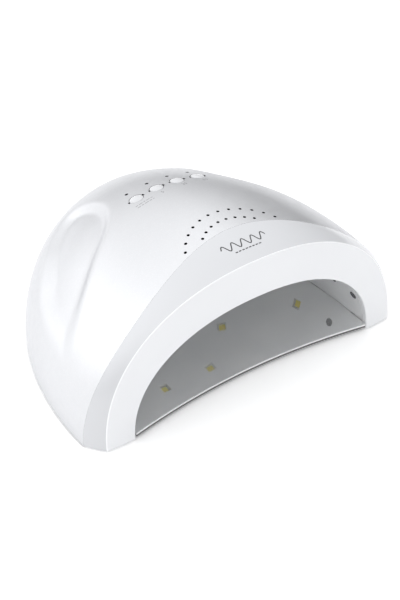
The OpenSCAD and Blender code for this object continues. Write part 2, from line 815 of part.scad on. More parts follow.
module board_connectors() {
    color("ivory") for (x = [-1, 0, 1])
        translate([x * panel_lead_x, power_back - connector_size[1], part_z]) block(connector_size, 0);
}

module dc_jack() {
    color("black") translate([0, inlet_face_y, inlet_z]) rotate([90, 0, 0]) difference() {
        cylinder(r = inlet_body_r, h = inlet_len);
        translate([0, 0, -cut_over]) cylinder(r = inlet_r, h = inlet_hole_depth + cut_over);
    }
}
module jack_pin() {
    color("gold") translate([0, inlet_face_y - inlet_hole_depth, inlet_z]) rotate([-90, 0, 0])
        cylinder(r = pin_r, h = pin_len);
}
module jack_nut() {
    color("silver") translate([0, inlet_back_y + nut_from_end, inlet_z]) rotate([90, 0, 0]) difference() {
        cylinder(r = nut_r, h = nut_t, $fn = 6);
        translate([0, 0, -cut_over]) cylinder(r = inlet_body_r + screw_fit, h = nut_t + 2 * cut_over);
    }
}

lead_r = 1.5;
module jack_lead() {
    color("black") lead([
        [0, inlet_back_y - 0.1, inlet_z],
        [0, inlet_back_y - 1.4, inlet_z],
        [0, inlet_back_y - 3.2, inlet_z + 0.9],
        [0, inlet_back_y - 4.6, inlet_z + 3],
        [0, inlet_back_y - 5.2, inlet_z + 8],
        [0, inlet_back_y - 8, inlet_z + 20],
        [0, inlet_back_y - 14, inlet_z + 30],
        [0, inlet_back_y - 25, inlet_z + 40],
        [0, inlet_back_y - 38, inlet_z + 46],
        [0, inlet_back_y - 52, inlet_z + 50],
        [0, button_y + 6, part_z - 4],
        [0, button_y - 2, part_z - 2],
        [0, button_y - 10, part_z + 1],
        [0, power_back - lead_start + 2, part_z + 2.5],
        [0, power_back - lead_start, part_z + 2.5]
    ], lead_r);
}
module panel_lead() {
    function under_board(back) = [
        panel_lead_x,
        button_y + back * cos(panel_tilt) - board_drop * sin(panel_tilt),
        panel_z - board_drop * cos(panel_tilt) - back * sin(panel_tilt)
    ];
    color("gray") lead([
        [panel_lead_x, power_back - lead_start, part_z + 2.5],
        [panel_lead_x, power_back - lead_start + 2, part_z + 2.5],
        under_board(1) + [0, -4.5, -3.2],
        under_board(1) + [0, -1, -2],
        under_board(1) + [0, 0, -0.3]
    ], 1);
}

// Pairs of LED spots that a jumper lead joins, and the spots that the power board feeds.
led_chain = [[0, 11], [11, 1], [0, 2], [2, 9], [9, 5], [3, 4], [4, 10], [10, 7], [7, 8], [8, 6]];
led_fed = [[1, power_front + 1], [3, front_y + 69]];
led_lead_r = 0.7;
led_lead_grow = led_board_t - led_low + led_lead_r + 0.5;
module led_leads() {
    function spot_point(spot) = cavity_point(spot[0], spot[1], led_lead_grow);
    function jumper(from, to) = let (steps = 6, trim = 2 / norm(spot_point(to) - spot_point(from)))
        [for (i = [0 : steps]) spot_point(from + (to - from) * (trim + (1 - 2 * trim) * i / steps))];
    function feed(index, y) = let (end = spot_point(led_spots[index])) [
        [end[0], y, power_z - 0.1],
        [end[0], y, power_z - 1.4],
        [end[0], (y + end[1]) / 2, end[2] + 0.9],
        end + [0, 1, 0]
    ];
    color("ivory") for (side = [0, 1]) mirror([side, 0, 0]) {
        for (pair = led_chain) lead(jumper(led_spots[pair[0]], led_spots[pair[1]]), led_lead_r);
        for (fed = led_fed) lead(feed(fed[0], fed[1]), led_lead_r);
    }
}

top_shell();
front_bezel();
reflector();
base_frame();
rubber_feet();
case_screws();
frame_magnets();
tray_plate();
tray_mirror();
tray_catches();
button_1();
button_2();
button_3();
button_4();
switch_plunger_1();
switch_plunger_2();
switch_plunger_3();
switch_plunger_4();
control_board();
board_screws();
tact_switches();
indicator_lenses();
indicator_leds();
timer_chip();
led_boards();
led_packages();
sensor_windows();
sensor_boards();
ir_sensors();
power_board();
power_screws();
choke();
capacitors();
driver_chip();
heat_sink();
board_connectors();
dc_jack();
jack_pin();
jack_nut();
jack_lead();
panel_lead();
led_leads();
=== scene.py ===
import json
import math

import bmesh
import bpy
import numpy as np
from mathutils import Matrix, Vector


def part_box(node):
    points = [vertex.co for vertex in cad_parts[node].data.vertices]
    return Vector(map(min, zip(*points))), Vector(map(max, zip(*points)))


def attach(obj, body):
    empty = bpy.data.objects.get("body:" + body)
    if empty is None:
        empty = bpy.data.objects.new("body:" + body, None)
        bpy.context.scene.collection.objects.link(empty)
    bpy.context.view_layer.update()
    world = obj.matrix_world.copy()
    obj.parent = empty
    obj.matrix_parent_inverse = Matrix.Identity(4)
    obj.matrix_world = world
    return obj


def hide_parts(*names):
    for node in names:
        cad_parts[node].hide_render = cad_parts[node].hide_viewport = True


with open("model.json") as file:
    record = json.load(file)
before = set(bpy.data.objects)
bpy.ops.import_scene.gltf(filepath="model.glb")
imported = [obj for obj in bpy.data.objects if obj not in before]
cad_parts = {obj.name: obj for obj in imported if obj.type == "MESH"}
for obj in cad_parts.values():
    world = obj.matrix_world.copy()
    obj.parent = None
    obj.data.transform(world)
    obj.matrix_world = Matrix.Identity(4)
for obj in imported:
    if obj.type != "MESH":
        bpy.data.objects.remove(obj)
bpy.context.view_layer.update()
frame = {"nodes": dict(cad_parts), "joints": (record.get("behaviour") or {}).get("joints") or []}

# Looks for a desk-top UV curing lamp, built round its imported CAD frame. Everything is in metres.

MM = 0.001
TINY = 1e-12
LEAST_SPAN = 0.01 * MM
WELD = 1e-6

# ---- sizes of the casing, in the same curves as the CAD --

shell_low, shell_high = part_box("top_shell")
HALF_W = shell_high.x
BACK_Y = shell_high.y
FRONT_Y = -BACK_Y
TOP_Z = shell_high.z
GROUND = shell_low.z
WALL = 2.2 * MM
WIDEST_Y = FRONT_Y + 26.5 * MM
PEAK_Y = FRONT_Y + 44.5 * MM
PLAN_REACH = 150 * MM
ROOF_REACH = 155 * MM
PLAN_POWER = 1.95
ROOF_POWER = 2.1
ARCH_POWER = 1.94
BAND_FOOT = 12 * MM
BAND_RISE = 16.6 * MM
BAND_SPREAD = 1.13
SEAM = 0.03 * MM

FACE_HALF_W = 100 * MM
FACE_H = 85.6 * MM
FACE_POWER = 2.2
FACE_LEAN = 0.056
FACE_BOW = 2.6 * MM
OPENING_HALF_W = 82.3 * MM
OPENING_H = 61.4 * MM
OPENING_POWER = 2.2
BEZEL_WALL = 2.4 * MM
RIM_DEPTH = 4 * MM

CAVITY_START = RIM_DEPTH + SEAM
CAVITY_LEN = 148 * MM - CAVITY_START
CAVITY_POWER = 2.8
CAVITY_BASE = 5.3 * MM
CAVITY_WALL = 1.6 * MM


def falloff(u, power):
    """One quarter of a rounded curve: 1 at u = 0, falling to 0 at u = 1."""
    return np.maximum(0, 1 - np.minimum(1, np.abs(u)) ** power) ** (1 / power)


def signed_pow(value, power):
    return np.sign(value) * np.abs(value) ** power


def casing_half_w(y, inset=0.0):
    reach = np.where(y < WIDEST_Y, PLAN_REACH, BACK_Y - inset - WIDEST_Y)
    return (HALF_W - inset) * falloff((y - WIDEST_Y) / reach, PLAN_POWER)


def casing_rise(y, inset=0.0):
    """Height of the casing's ridge above its lower edge."""
    reach = np.where(y < PEAK_Y, ROOF_REACH, BACK_Y - inset - PEAK_Y)
    return (TOP_Z - GROUND - inset) * falloff((y - PEAK_Y) / reach, ROOF_POWER)


def casing_z(x, y):
    return GROUND + casing_rise(y) * falloff(x / casing_half_w(y), ARCH_POWER)


def band_y(arch):
    """Where the bevelled band meets the casing, for an arch angle in radians."""
    spread = np.minimum(1, BAND_SPREAD * np.abs(np.cos(arch)))
    return FRONT_Y + BAND_FOOT + BAND_RISE * np.cos(spread * math.pi / 2) ** 2


def face_y(x, z):
    return FRONT_Y + FACE_LEAN * z + FACE_BOW * ((x / FACE_HALF_W) ** 2 - (OPENING_HALF_W / FACE_HALF_W) ** 2)


# ---- side grips ------------------------------------------

GRIP_DEPTH = 4.8 * MM
GRIP_CENTRE = (-0.6 * MM, 70.5 * MM)
GRIP_TURN = math.radians(53)
GIRTH_R = 95 * MM
# Outline in the grip's own frame: along, across, and how wide the edge is there, in millimetres.
GRIP_OUTLINE = [
    (-46, -25, 15), (-34, -27.5, 13), (-16, -28, 11.5), (4, -27.6, 11), (20, -26.6, 10), (33, -22.5, 9),
    (43, -14.5, 8.5), (49.5, -4, 8.5), (52, 8, 9), (50, 20, 10), (44, 29, 13), (34, 34, 15), (20, 35, 16),
    (5, 31, 17), (-12, 25, 17), (-25, 18, 16), (-38, 7, 16), (-48, -4, 16), (-55, -13, 15), (-55, -20, 15),
]
GRIP_STEP = 0.5 * MM
GRIP_LOW = (-64 * MM, -34 * MM)
GRIP_CELLS = (250, 156)
GRIP_BLUR = 2.8
GRIP_BLUR_REACH = 9
GRIP_LOOP_STEPS = 5
# The hollow runs out towards the front: where, over what length, and to what share of its depth.
TAIL_END, TAIL_LEN, TAIL_SHARE = -56 * MM, 50 * MM, 0.2


def smooth_loop(points, steps):
    """Catmull-Rom points round a closed outline."""
    p = np.array(points, float)
    t = np.linspace(0, 1, steps, endpoint=False)[:, None]
    parts = []
    for i in range(len(p)):
        a, b, c, d = p[i - 1], p[i], p[(i + 1) % len(p)], p[(i + 2) % len(p)]
        parts.append(0.5 * (2 * b + (c - a) * t + (2 * a - 5 * b + 4 * c - d) * t**2
                            + (3 * b - a - 3 * c + d) * t**3))
    return np.concatenate(parts)


def smoothstep(t):
    t = np.clip(t, 0, 1)
    return t * t * (3 - 2 * t)


def hollow_depth(place):
    """Depth of the hollow at places in its own frame, from the distance to the outline."""
    start = smooth_loop(GRIP_OUTLINE, GRIP_LOOP_STEPS) * MM
    end = np.roll(start, -1, axis=0)
    side = end[:, :2] - start[:, :2]
    rel = place[:, None] - start[None, :, :2]
    t = np.clip((rel * side).sum(2) / (side**2).sum(1), 0, 1)
    gap = np.linalg.norm(rel - t[..., None] * side, axis=2)
    k = gap.argmin(1)
    row = np.arange(len(place))
    width = start[k, 2] + t[row, k] * (end[k, 2] - start[k, 2])
    crossing = ((start[None, :, 1] > place[:, None, 1]) != (end[None, :, 1] > place[:, None, 1])) & (
        place[:, None, 0] < start[None, :, 0] + (place[:, None, 1] - start[None, :, 1])
        * (end[None, :, 0] - start[None, :, 0]) / (end[None, :, 1] - start[None, :, 1] + TINY))
    fade = TAIL_SHARE + (1 - TAIL_SHARE) * smoothstep((place[:, 0] - TAIL_END) / TAIL_LEN)
    return np.where(crossing.sum(1) % 2 == 1, GRIP_DEPTH * fade * smoothstep(gap[row, k] / width), 0)


def make_grip_map():
    """The hollow as a blurred height grid, which keeps every edge soft."""
    rows, cols = (GRIP_LOW[i] + GRIP_STEP * np.arange(GRIP_CELLS[i]) for i in (0, 1))
    place = np.stack(np.meshgrid(rows, cols, indexing="ij"), -1).reshape(-1, 2)
    made = hollow_depth(place).reshape(GRIP_CELLS)
    kernel = np.exp(-0.5 * (np.arange(-GRIP_BLUR_REACH, GRIP_BLUR_REACH + 1) / GRIP_BLUR) ** 2)
    kernel /= kernel.sum()
    for axis in (0, 1):
        made = np.apply_along_axis(lambda line: np.convolve(line, kernel, "same"), axis, made)
    return made


GRIP_MAP = make_grip_map()


def spline_weights(t):
    return np.stack([(1 - t) ** 3, 3 * t**3 - 6 * t**2 + 4, -3 * t**3 + 3 * t**2 + 3 * t + 1, t**3]) / 6


def grip_depth(y, arch):
    """How far the hollow of a side grip lies under the casing's plain curve."""
    y, arch = np.broadcast_arrays(np.asarray(y, float), np.asarray(arch, float))
    run = y - GRIP_CENTRE[0]
    girth = np.minimum(arch, math.pi - arch) * GIRTH_R - GRIP_CENTRE[1]
    c, s = math.cos(GRIP_TURN), math.sin(GRIP_TURN)
    cells, weights = [], []
    for i, value in enumerate((run * c + girth * s, run * s - girth * c)):
        place = np.clip((value - GRIP_LOW[i]) / GRIP_STEP, 1, GRIP_CELLS[i] - 3)
        cells.append(np.minimum(np.floor(place), GRIP_CELLS[i] - 4).astype(int))
        weights.append(spline_weights(place - cells[i]))
    return sum(weights[0][a] * weights[1][b] * GRIP_MAP[cells[0] + a - 1, cells[1] + b - 1]
               for a in range(4) for b in range(4))


def casing_point(y, arch, inset=0.0):
    deep = grip_depth(y, arch)
    x = (casing_half_w(y, inset) - deep) * signed_pow(np.cos(arch), 2 / ARCH_POWER)
    z = GROUND + (casing_rise(y, inset) - deep) * np.maximum(0, np.sin(arch)) ** (2 / ARCH_POWER)
    return np.stack([x, y + 0 * arch, z], -1)


def casing_field(p):
    """Zero on the casing's outer surface and growing outwards."""
    x, y, z = p.T
    half_w = np.maximum(casing_half_w(y), LEAST_SPAN)
    rise = np.maximum(casing_rise(y), LEAST_SPAN)
    u, v = np.abs(x) / half_w, np.maximum(z - GROUND, 0) / rise
    arch = np.arctan2(v ** (ARCH_POWER / 2), u ** (ARCH_POWER / 2) + TINY)
    deep = grip_depth(y, arch)
    return ((np.abs(x) / np.maximum(half_w - deep, LEAST_SPAN)) ** ARCH_POWER
            + (np.maximum(z - GROUND, 0) / np.maximum(rise - deep, LEAST_SPAN)) ** ARCH_POWER - 1)


def face_point(arch, half_w, height, power, depth=0.0):
    x = half_w * signed_pow(np.cos(arch), 2 / power)
    z = GROUND + (height - GROUND) * np.maximum(0, np.sin(arch)) ** (2 / power)
    return np.stack([x, face_y(x, z) + depth, z], -1)


def cavity_point(run, arch, grow=0.0):
    fall = falloff(run / (CAVITY_LEN + grow), CAVITY_POWER)
    x = (OPENING_HALF_W + grow) * fall * signed_pow(np.cos(arch), 2 / OPENING_POWER)
    rise = (OPENING_H + grow - CAVITY_BASE) * fall
    z = CAVITY_BASE + rise * np.maximum(0, np.sin(arch)) ** (2 / OPENING_POWER)
    lean = (1 - run / CAVITY_LEN) * (face_y(x, z) - FRONT_Y)
    return np.stack([x, FRONT_Y + CAVITY_START + run + lean, z], -1)


def cavity_field(p):
    """Zero on the reflector's inner surface and growing outwards."""
    x, y, z = p.T
    lean = face_y(x, z) - FRONT_Y
    run = (y - FRONT_Y - CAVITY_START - lean) / (1 - lean / CAVITY_LEN)
    fall = np.maximum(falloff(np.clip(run, 0, CAVITY_LEN) / CAVITY_LEN, CAVITY_POWER), 1e-3)
    return ((np.abs(x) / (OPENING_HALF_W * fall)) ** OPENING_POWER
            + (np.maximum(z - CAVITY_BASE, 0) / ((OPENING_H - CAVITY_BASE) * fall)) ** OPENING_POWER - 1)


# ---- mesh helpers ----------------------------------------

OUTER, INNER, EDGE, HOLE = 0, 1, 2, 3


def new_object(name, verts, faces, indices=None):
    mesh = bpy.data.meshes.new(name)
    mesh.from_pydata([tuple(v) for v in verts], [], [tuple(f) for f in faces])
    if indices is not None:
        mesh.polygons.foreach_set("material_index", np.array(indices, np.int32))
    mesh.polygons.foreach_set("use_smooth", np.ones(len(mesh.polygons), bool))
    mesh.update()
    obj = bpy.data.objects.new(name, mesh)
    bpy.context.scene.collection.objects.link(obj)
    return obj


def domed_skin(name, outer, inner, outer_tip, inner_tip):
    """A closed skin between two grids that each end in one point at the back."""
    rows, cols = outer.shape[:2]
    count = rows * cols
    verts = np.concatenate([outer.reshape(-1, 3), inner.reshape(-1, 3), [outer_tip], [inner_tip]])
    tip_out, tip_in = 2 * count, 2 * count + 1
    faces, kinds = [], []

    def add(kind, *face):
        faces.append(face)
        kinds.append(kind)

    for r in range(rows - 1):
        for c in range(cols - 1):
            k, m = r * cols + c, count + r * cols + c
            add(OUTER, k, k + cols, k + cols + 1, k + 1)
            add(INNER, m, m + 1, m + cols + 1, m + cols)
    for c in range(cols - 1):
        k = (rows - 1) * cols + c
        add(OUTER, k, tip_out, k + 1)
        add(INNER, count + k, count + k + 1, tip_in)
        add(EDGE, c, c + 1, count + c + 1, count + c)
    for r in range(rows - 1):
        k = r * cols
        add(EDGE, k, count + k, count + k + cols, k + cols)
        k = r * cols + cols - 1
        add(EDGE, k, k + cols, count + k + cols, count + k)
    k = (rows - 1) * cols
    add(EDGE, k, count + k, tip_in, tip_out)
    k = rows * cols - 1
    add(EDGE, k, tip_out, tip_in, count + k)
    return new_object(name, verts, faces, kinds)


def prisms(name, outlines, kind):
    """Closed prisms in one mesh: each outline is (ring of points at the low end, offset to the high end)."""
    verts, faces = [], []
    for ring, rise in outlines:
        start, n = len(verts), len(ring)
        verts += [Vector(p) for p in ring] + [Vector(p) + Vector(rise) for p in ring]
        faces.append([start + i for i in range(n)][::-1])
        faces.append([start + n + i for i in range(n)])
        faces += [[start + i, start + (i + 1) % n, start + n + (i + 1) % n, start + n + i] for i in range(n)]
    return new_object(name, verts, faces, [kind] * len(faces))


def disc(centre, radius, x_axis, y_axis, sides=32):
    c, x, y = Vector(centre), Vector(x_axis), Vector(y_axis)
    return [c + radius * (math.cos(a) * x + math.sin(a) * y)
            for a in (2 * math.pi * i / sides for i in range(sides))]


def combine(obj, tool, operation):
    """Boolean with a closed tool, which is then removed."""
    for m in obj.data.materials:
        tool.data.materials.append(m)
    modifier = obj.modifiers.new("cut", "BOOLEAN")
    modifier.operation = operation
    modifier.solver = "MANIFOLD"
    modifier.object = tool
    graph = bpy.context.evaluated_depsgraph_get()
    made = bpy.data.meshes.new_from_object(obj.evaluated_get(graph))
    obj.modifiers.clear()
    obj.data = made
    bpy.data.objects.remove(tool)


def follow_field(obj, field, kind, step=0.03 * MM):
    """Gives the faces of a kind the exact normals of a curved surface, and keeps the rest flat."""
    mesh = obj.data
    co = np.zeros(len(mesh.vertices) * 3)
    mesh.vertices.foreach_get("co", co)
    co = co.reshape(-1, 3)
    grad = np.stack([field(co + step * axis) - field(co - step * axis) for axis in np.eye(3)], 1)
    grad /= np.maximum(np.linalg.norm(grad, axis=1, keepdims=True), TINY)
    normals = np.zeros((len(mesh.loops), 3))
    for face in mesh.polygons:
        loops = list(face.loop_indices)
        if face.material_index == kind:
            found = grad[[mesh.loops[i].vertex_index for i in loops]]
            sign = 1 if found.mean(0) @ np.array(face.normal) >= 0 else -1
            normals[loops] = sign * found
        else:
            normals[loops] = np.array(face.normal)
    mesh.polygons.foreach_set("use_smooth", np.ones(len(mesh.polygons), bool))
    mesh.normals_split_custom_set([tuple(n) for n in normals])


def solids_of(node):
    """Vertices of each solid of a CAD node, with doubles merged."""
    bm = bmesh.new()
    bm.from_mesh(frame["nodes"][node].data)
    bmesh.ops.remove_doubles(bm, verts=bm.verts, dist=WELD)
    found, seen = [], set()
    for v in bm.verts:
        if v in seen:
            continue
        group, stack = [], [v]
        seen.add(v)
        while stack:
            w = stack.pop()
            group.append(w.co.copy())
            for e in w.link_edges:
                other = e.other_vert(w)
                if other not in seen:
                    seen.add(other)
                    stack.append(other)
        found.append(np.array([list(p) for p in group]))
    bm.free()
    return found


def middles(node):
    return [(g.min(0) + g.max(0)) / 2 for g in solids_of(node)]


# ---- materials -------------------------------------------

DUST = (0.8, 0.8, 0.8, 1)
FLAKE = (0.96, 0.965, 0.98, 1)
# Height and colour of the black painted along the tray plate's lower edge: painted shadow under the tray.
SHADOW_LINE_HEIGHT = 1.1 * MM
PAINTED_SHADOW_BLACK = (0.05, 0.05, 0.052, 1)
TRAY_LOW, TRAY_HIGH = (0.82, 0.825, 0.83, 1), (0.86, 0.865, 0.87, 1)
PEARL_METALLIC, PEARL_TINT = 0.8, (0.78, 0.78, 0.79, 1)
PEARL_LOW, PEARL_HIGH = (0.64, 0.645, 0.66, 1), (0.66, 0.665, 0.68, 1)
# The bezel is one white moulding: the band's tone is a darker copy of the face's as painted shade, and the
# corner's a lighter copy as a painted highlight along the crease.
FACE_TONE, BAND_PAINTED_SHADE_TONE, CORNER_PAINTED_HIGHLIGHT_TONE = (0.83, 0.837, 0.855), (0.625, 0.632, 0.65), (0.93, 0.935, 0.95)
CAVITY_LOW, CAVITY_HIGH = (0.92, 0.925, 0.93, 1), (0.96, 0.965, 0.97, 1)
MIRROR_LOW, MIRROR_HIGH = (0.8, 0.81, 0.82, 1), (0.86, 0.865, 0.87, 1)
PHOSPHOR_PALE, PHOSPHOR_DEEP = (0.98, 0.84, 0.04, 1), (0.86, 0.7, 0.02, 1)


class Finish:
    """A procedural material in the frame's own coordinates."""

    def __init__(self, name, **shader):
        self.material = bpy.data.materials.new(name)
        self.material.use_nodes = True
        self.tree = self.material.node_tree
        self.bsdf = self.tree.nodes["Principled BSDF"]
        for socket, value in shader.items():
            self.bsdf.inputs[socket.replace("_", " ")].default_value = value
        self.place = self.node("ShaderNodeTexCoord").outputs["Object"]

    def node(self, kind, inputs=(), **settings):
        node = self.tree.nodes.new(kind)
        for key, value in settings.items():
            setattr(node, key, value)
        for socket, value in dict(inputs).items():
            self.feed(node.inputs[socket], value)
        return node

    def feed(self, socket, value):
        if isinstance(value, bpy.types.NodeSocket):
            self.tree.links.new(value, socket)
        else:
            socket.default_value = value

    def stretched(self, scale):
        return self.node("ShaderNodeMapping", {"Vector": self.place, "Scale": scale}).outputs["Vector"]

    def noise(self, scale, detail=2.0, rough=0.5, place=None):
        return self.node("ShaderNodeTexNoise", {"Vector": place or self.place, "Scale": scale,
                                                "Detail": detail, "Roughness": rough}).outputs["Fac"]

    def cells(self, scale, out="Distance"):
        return self.node("ShaderNodeTexVoronoi", {"Vector": self.place, "Scale": scale}).outputs[out]

    def span(self, value, low, high, start=0.3, end=0.7):
        return self.node("ShaderNodeMapRange", {"Value": value, "From Min": start, "From Max": end,
                                                "To Min": low, "To Max": high}).outputs["Result"]

    def mix(self, share, a, b):
        node = self.node("ShaderNodeMix", data_type="RGBA")
        self.feed(node.inputs[0], share)
        self.feed(node.inputs[6], a)
        self.feed(node.inputs[7], b)
        return node.outputs[2]

    def colour(self, value):
        self.feed(self.bsdf.inputs["Base Color"], value)

    def roughness(self, value):
        self.feed(self.bsdf.inputs["Roughness"], value)

    def bump(self, height, depth, strength=1.0, over=None):
        inputs = {"Height": height, "Distance": depth, "Strength": strength}
        if over is not None:
            inputs["Normal"] = over
        made = self.node("ShaderNodeBump", inputs).outputs["Normal"]
        self.feed(self.bsdf.inputs["Normal"], made)
        return made


def tint(colour, factor):
    return tuple(min(1.0, c * factor) for c in colour[:3]) + (1.0,)


def moulded(name, colour, rough=(0.2, 0.3), drift=0.03, peel=0.01, grain=900, coat=0.0, **shader):
    """Moulded plastic: slow colour drift, uneven gloss and a fine surface ripple."""
    f = Finish(name, Coat_Weight=coat, Coat_Roughness=0.06, **shader)
    f.colour(f.mix(f.span(f.noise(26), 0, 1), tint(colour, 1 - drift), tint(colour, 1 + drift)))
    f.roughness(f.span(f.noise(140, 3), *rough))
    f.bump(f.noise(grain, 2), peel * MM)
    return f.material


def metal(name, colour, rough=(0.2, 0.4), lines=(30, 30, 2600)):
    """Worked metal with fine lines along one direction and stains in the gloss."""
    f = Finish(name, Metallic=1.0)
    scratch = f.noise(1.0, 3, 0.6, f.stretched(lines))
    f.colour(f.mix(f.span(f.noise(90), 0, 1), tint(colour, 0.86), tint(colour, 1.06)))
    f.roughness(f.span(scratch, *rough))
    f.bump(scratch, 0.004 * MM)
    return f.material


def pearl_lacquer():
    """Silver-white lacquer: fine flakes under a clear coat."""
    f = Finish("pearl_casing", Metallic=PEARL_METALLIC, Coat_Weight=0.15, Coat_Roughness=0.1, Coat_IOR=1.4,
               Specular_Tint=PEARL_TINT)
    flakes = f.cells(3200, out="Color")
    share = f.node("ShaderNodeSeparateColor", {"Color": flakes}).outputs["Red"]
    drift = f.mix(f.span(f.noise(18, 3), 0, 1), PEARL_LOW, PEARL_HIGH)
    f.colour(f.mix(f.span(share, 0, 0.12, 0.75, 1.0), drift, FLAKE))
    f.roughness(f.span(f.noise(240, 3), 0.3, 0.4))
    ripple = f.bump(f.noise(420, 2), 0.004 * MM)
    f.bump(share, 0.0008 * MM, 0.5, ripple)
    return f.material


def gloss_white(name, colour):
    """Injection-moulded gloss white with a slow drift in tone and gloss, and faint orange peel."""
    f = Finish(name, Coat_Weight=0.25, Coat_Roughness=0.05, Coat_IOR=1.5)
    f.colour(f.mix(f.span(f.noise(22, 2), 0, 1), tint(colour, 0.99), tint(colour, 1.01)))
    f.roughness(f.span(f.noise(40, 2), 0.23, 0.27))
    f.bump(f.noise(420, 2), 0.004 * MM)
    return f.material


def vacuum_metal():
    """Metallised plastic of the cavity: satin grey with a slow ripple and dust."""
    f = Finish("reflector_grey", Metallic=0.35)
    dust = f.span(f.noise(1500, 2), 0, 1, 0.62, 0.72)
    base = f.mix(f.span(f.noise(30, 3), 0, 1), CAVITY_LOW, CAVITY_HIGH)
    f.colour(f.mix(f.span(dust, 0, 0.12, 0, 1), base, DUST))
    f.roughness(f.span(f.noise(90, 3), 0.34, 0.46))
    f.bump(f.noise(160, 3), 0.02 * MM)
    return f.material


def mirror_sheet():
    """Polished tray mirror with faint lines in its gloss."""
    f = Finish("tray_mirror", Metallic=0.75)
    scratch = f.noise(1.0, 2, 0.5, f.stretched((900, 40, 900)))
    f.colour(f.mix(f.span(f.noise(45, 2), 0, 1), MIRROR_LOW, MIRROR_HIGH))
    f.roughness(f.span(scratch, 0.03, 0.09, 0.45, 0.8))
    f.bump(f.noise(60, 2), 0.004 * MM)
    return f.material


def sheet_with_painted_shadow():
    """White tray plate whose lower edge is painted black as the shadow line under it."""
    f = Finish("tray_white")
    height = f.node("ShaderNodeSeparateXYZ", {"Vector": f.place}).outputs["Z"]
    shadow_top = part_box("tray_plate")[0].z + SHADOW_LINE_HEIGHT
    white = f.mix(f.span(f.noise(26), 0, 1), TRAY_LOW, TRAY_HIGH)
    # Below this height the plate is painted black: painted shadow under the tray's front edge.
    f.colour(f.mix(f.span(height, 0, 1, shadow_top - 0.05 * MM, shadow_top + 0.05 * MM), PAINTED_SHADOW_BLACK, white))
    f.roughness(f.span(f.noise(140, 3), 0.22, 0.32))
    f.bump(f.noise(900, 2), 0.01 * MM)
    return f.material


def phosphor():
    """Silicone filled with yellow phosphor grains."""
    f = Finish("led_phosphor", Subsurface_Weight=0.15, Coat_Weight=0.5, Coat_Roughness=0.1)
    f.bsdf.inputs["Subsurface Scale"].default_value = 0.4 * MM
    grains = f.cells(5200)
    f.colour(f.mix(f.span(grains, 0, 1, 0, 0.8), PHOSPHOR_PALE, PHOSPHOR_DEEP))
    f.roughness(f.span(f.noise(900), 0.3, 0.45))
    f.bump(grains, 0.02 * MM)
    return f.material


def circuit(name, mask):
    """Solder mask over copper tracks, with tinned dots."""
    f = Finish(name, Coat_Weight=0.4, Coat_Roughness=0.12)
    tracks = f.node("ShaderNodeTexBrick", {"Vector": f.place, "Scale": 300.0, "Mortar Size": 0.06,
                                           "Color1": (0, 0, 0, 1), "Color2": (0.2, 0.2, 0.2, 1),
                                           "Mortar": (1, 1, 1, 1)}).outputs["Color"]
    dots = f.span(f.cells(420), 1, 0, 0.1, 0.14)
    board = f.mix(tracks, tint(mask, 0.85), tint(mask, 1.5))
    f.colour(f.mix(dots, board, (0.62, 0.62, 0.6, 1)))
    f.roughness(f.span(f.noise(400), 0.3, 0.5))
    f.bump(tracks, 0.02 * MM)
    return f.material


def winding():
    """Enamelled copper turns over a ferrite core."""
    f = Finish("ferrite", Metallic=0.35)
    turns = f.node("ShaderNodeTexWave", {"Vector": f.place, "Scale": 260.0, "Distortion": 1.5},
                   bands_direction="X").outputs["Fac"]
    f.colour(f.mix(turns, (0.09, 0.03, 0.015, 1), (0.5, 0.2, 0.07, 1)))
    f.roughness(f.span(f.noise(300), 0.3, 0.5))
    f.bump(turns, 0.15 * MM)
    return f.material


def sleeve():
    """Shrink sleeve of a capacitor, with its pale stripe."""
    f = Finish("capacitor_sleeve")
    axis = f.node("ShaderNodeSeparateXYZ", {"Vector": f.place}).outputs["Y"]
    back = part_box("capacitors")[1].y
    stripe = f.span(axis, 0, 1, back - 1.1 * MM, back - 0.9 * MM)
    f.colour(f.mix(stripe, (0.02, 0.03, 0.09, 1), (0.6, 0.62, 0.66, 1)))
    f.roughness(f.span(f.noise(300), 0.25, 0.4))
    f.bump(f.noise(700), 0.02 * MM)
    return f.material


def ink(name, colour):
    """Matt printed ink with a slightly broken tone."""
    f = Finish(name)
    f.colour(f.mix(f.span(f.noise(1500), 0, 1), tint(colour, 0.85), tint(colour, 1.15)))
    f.roughness(f.span(f.noise(900), 0.4, 0.6))
    f.bump(f.noise(3000), 0.003 * MM)
    return f.material


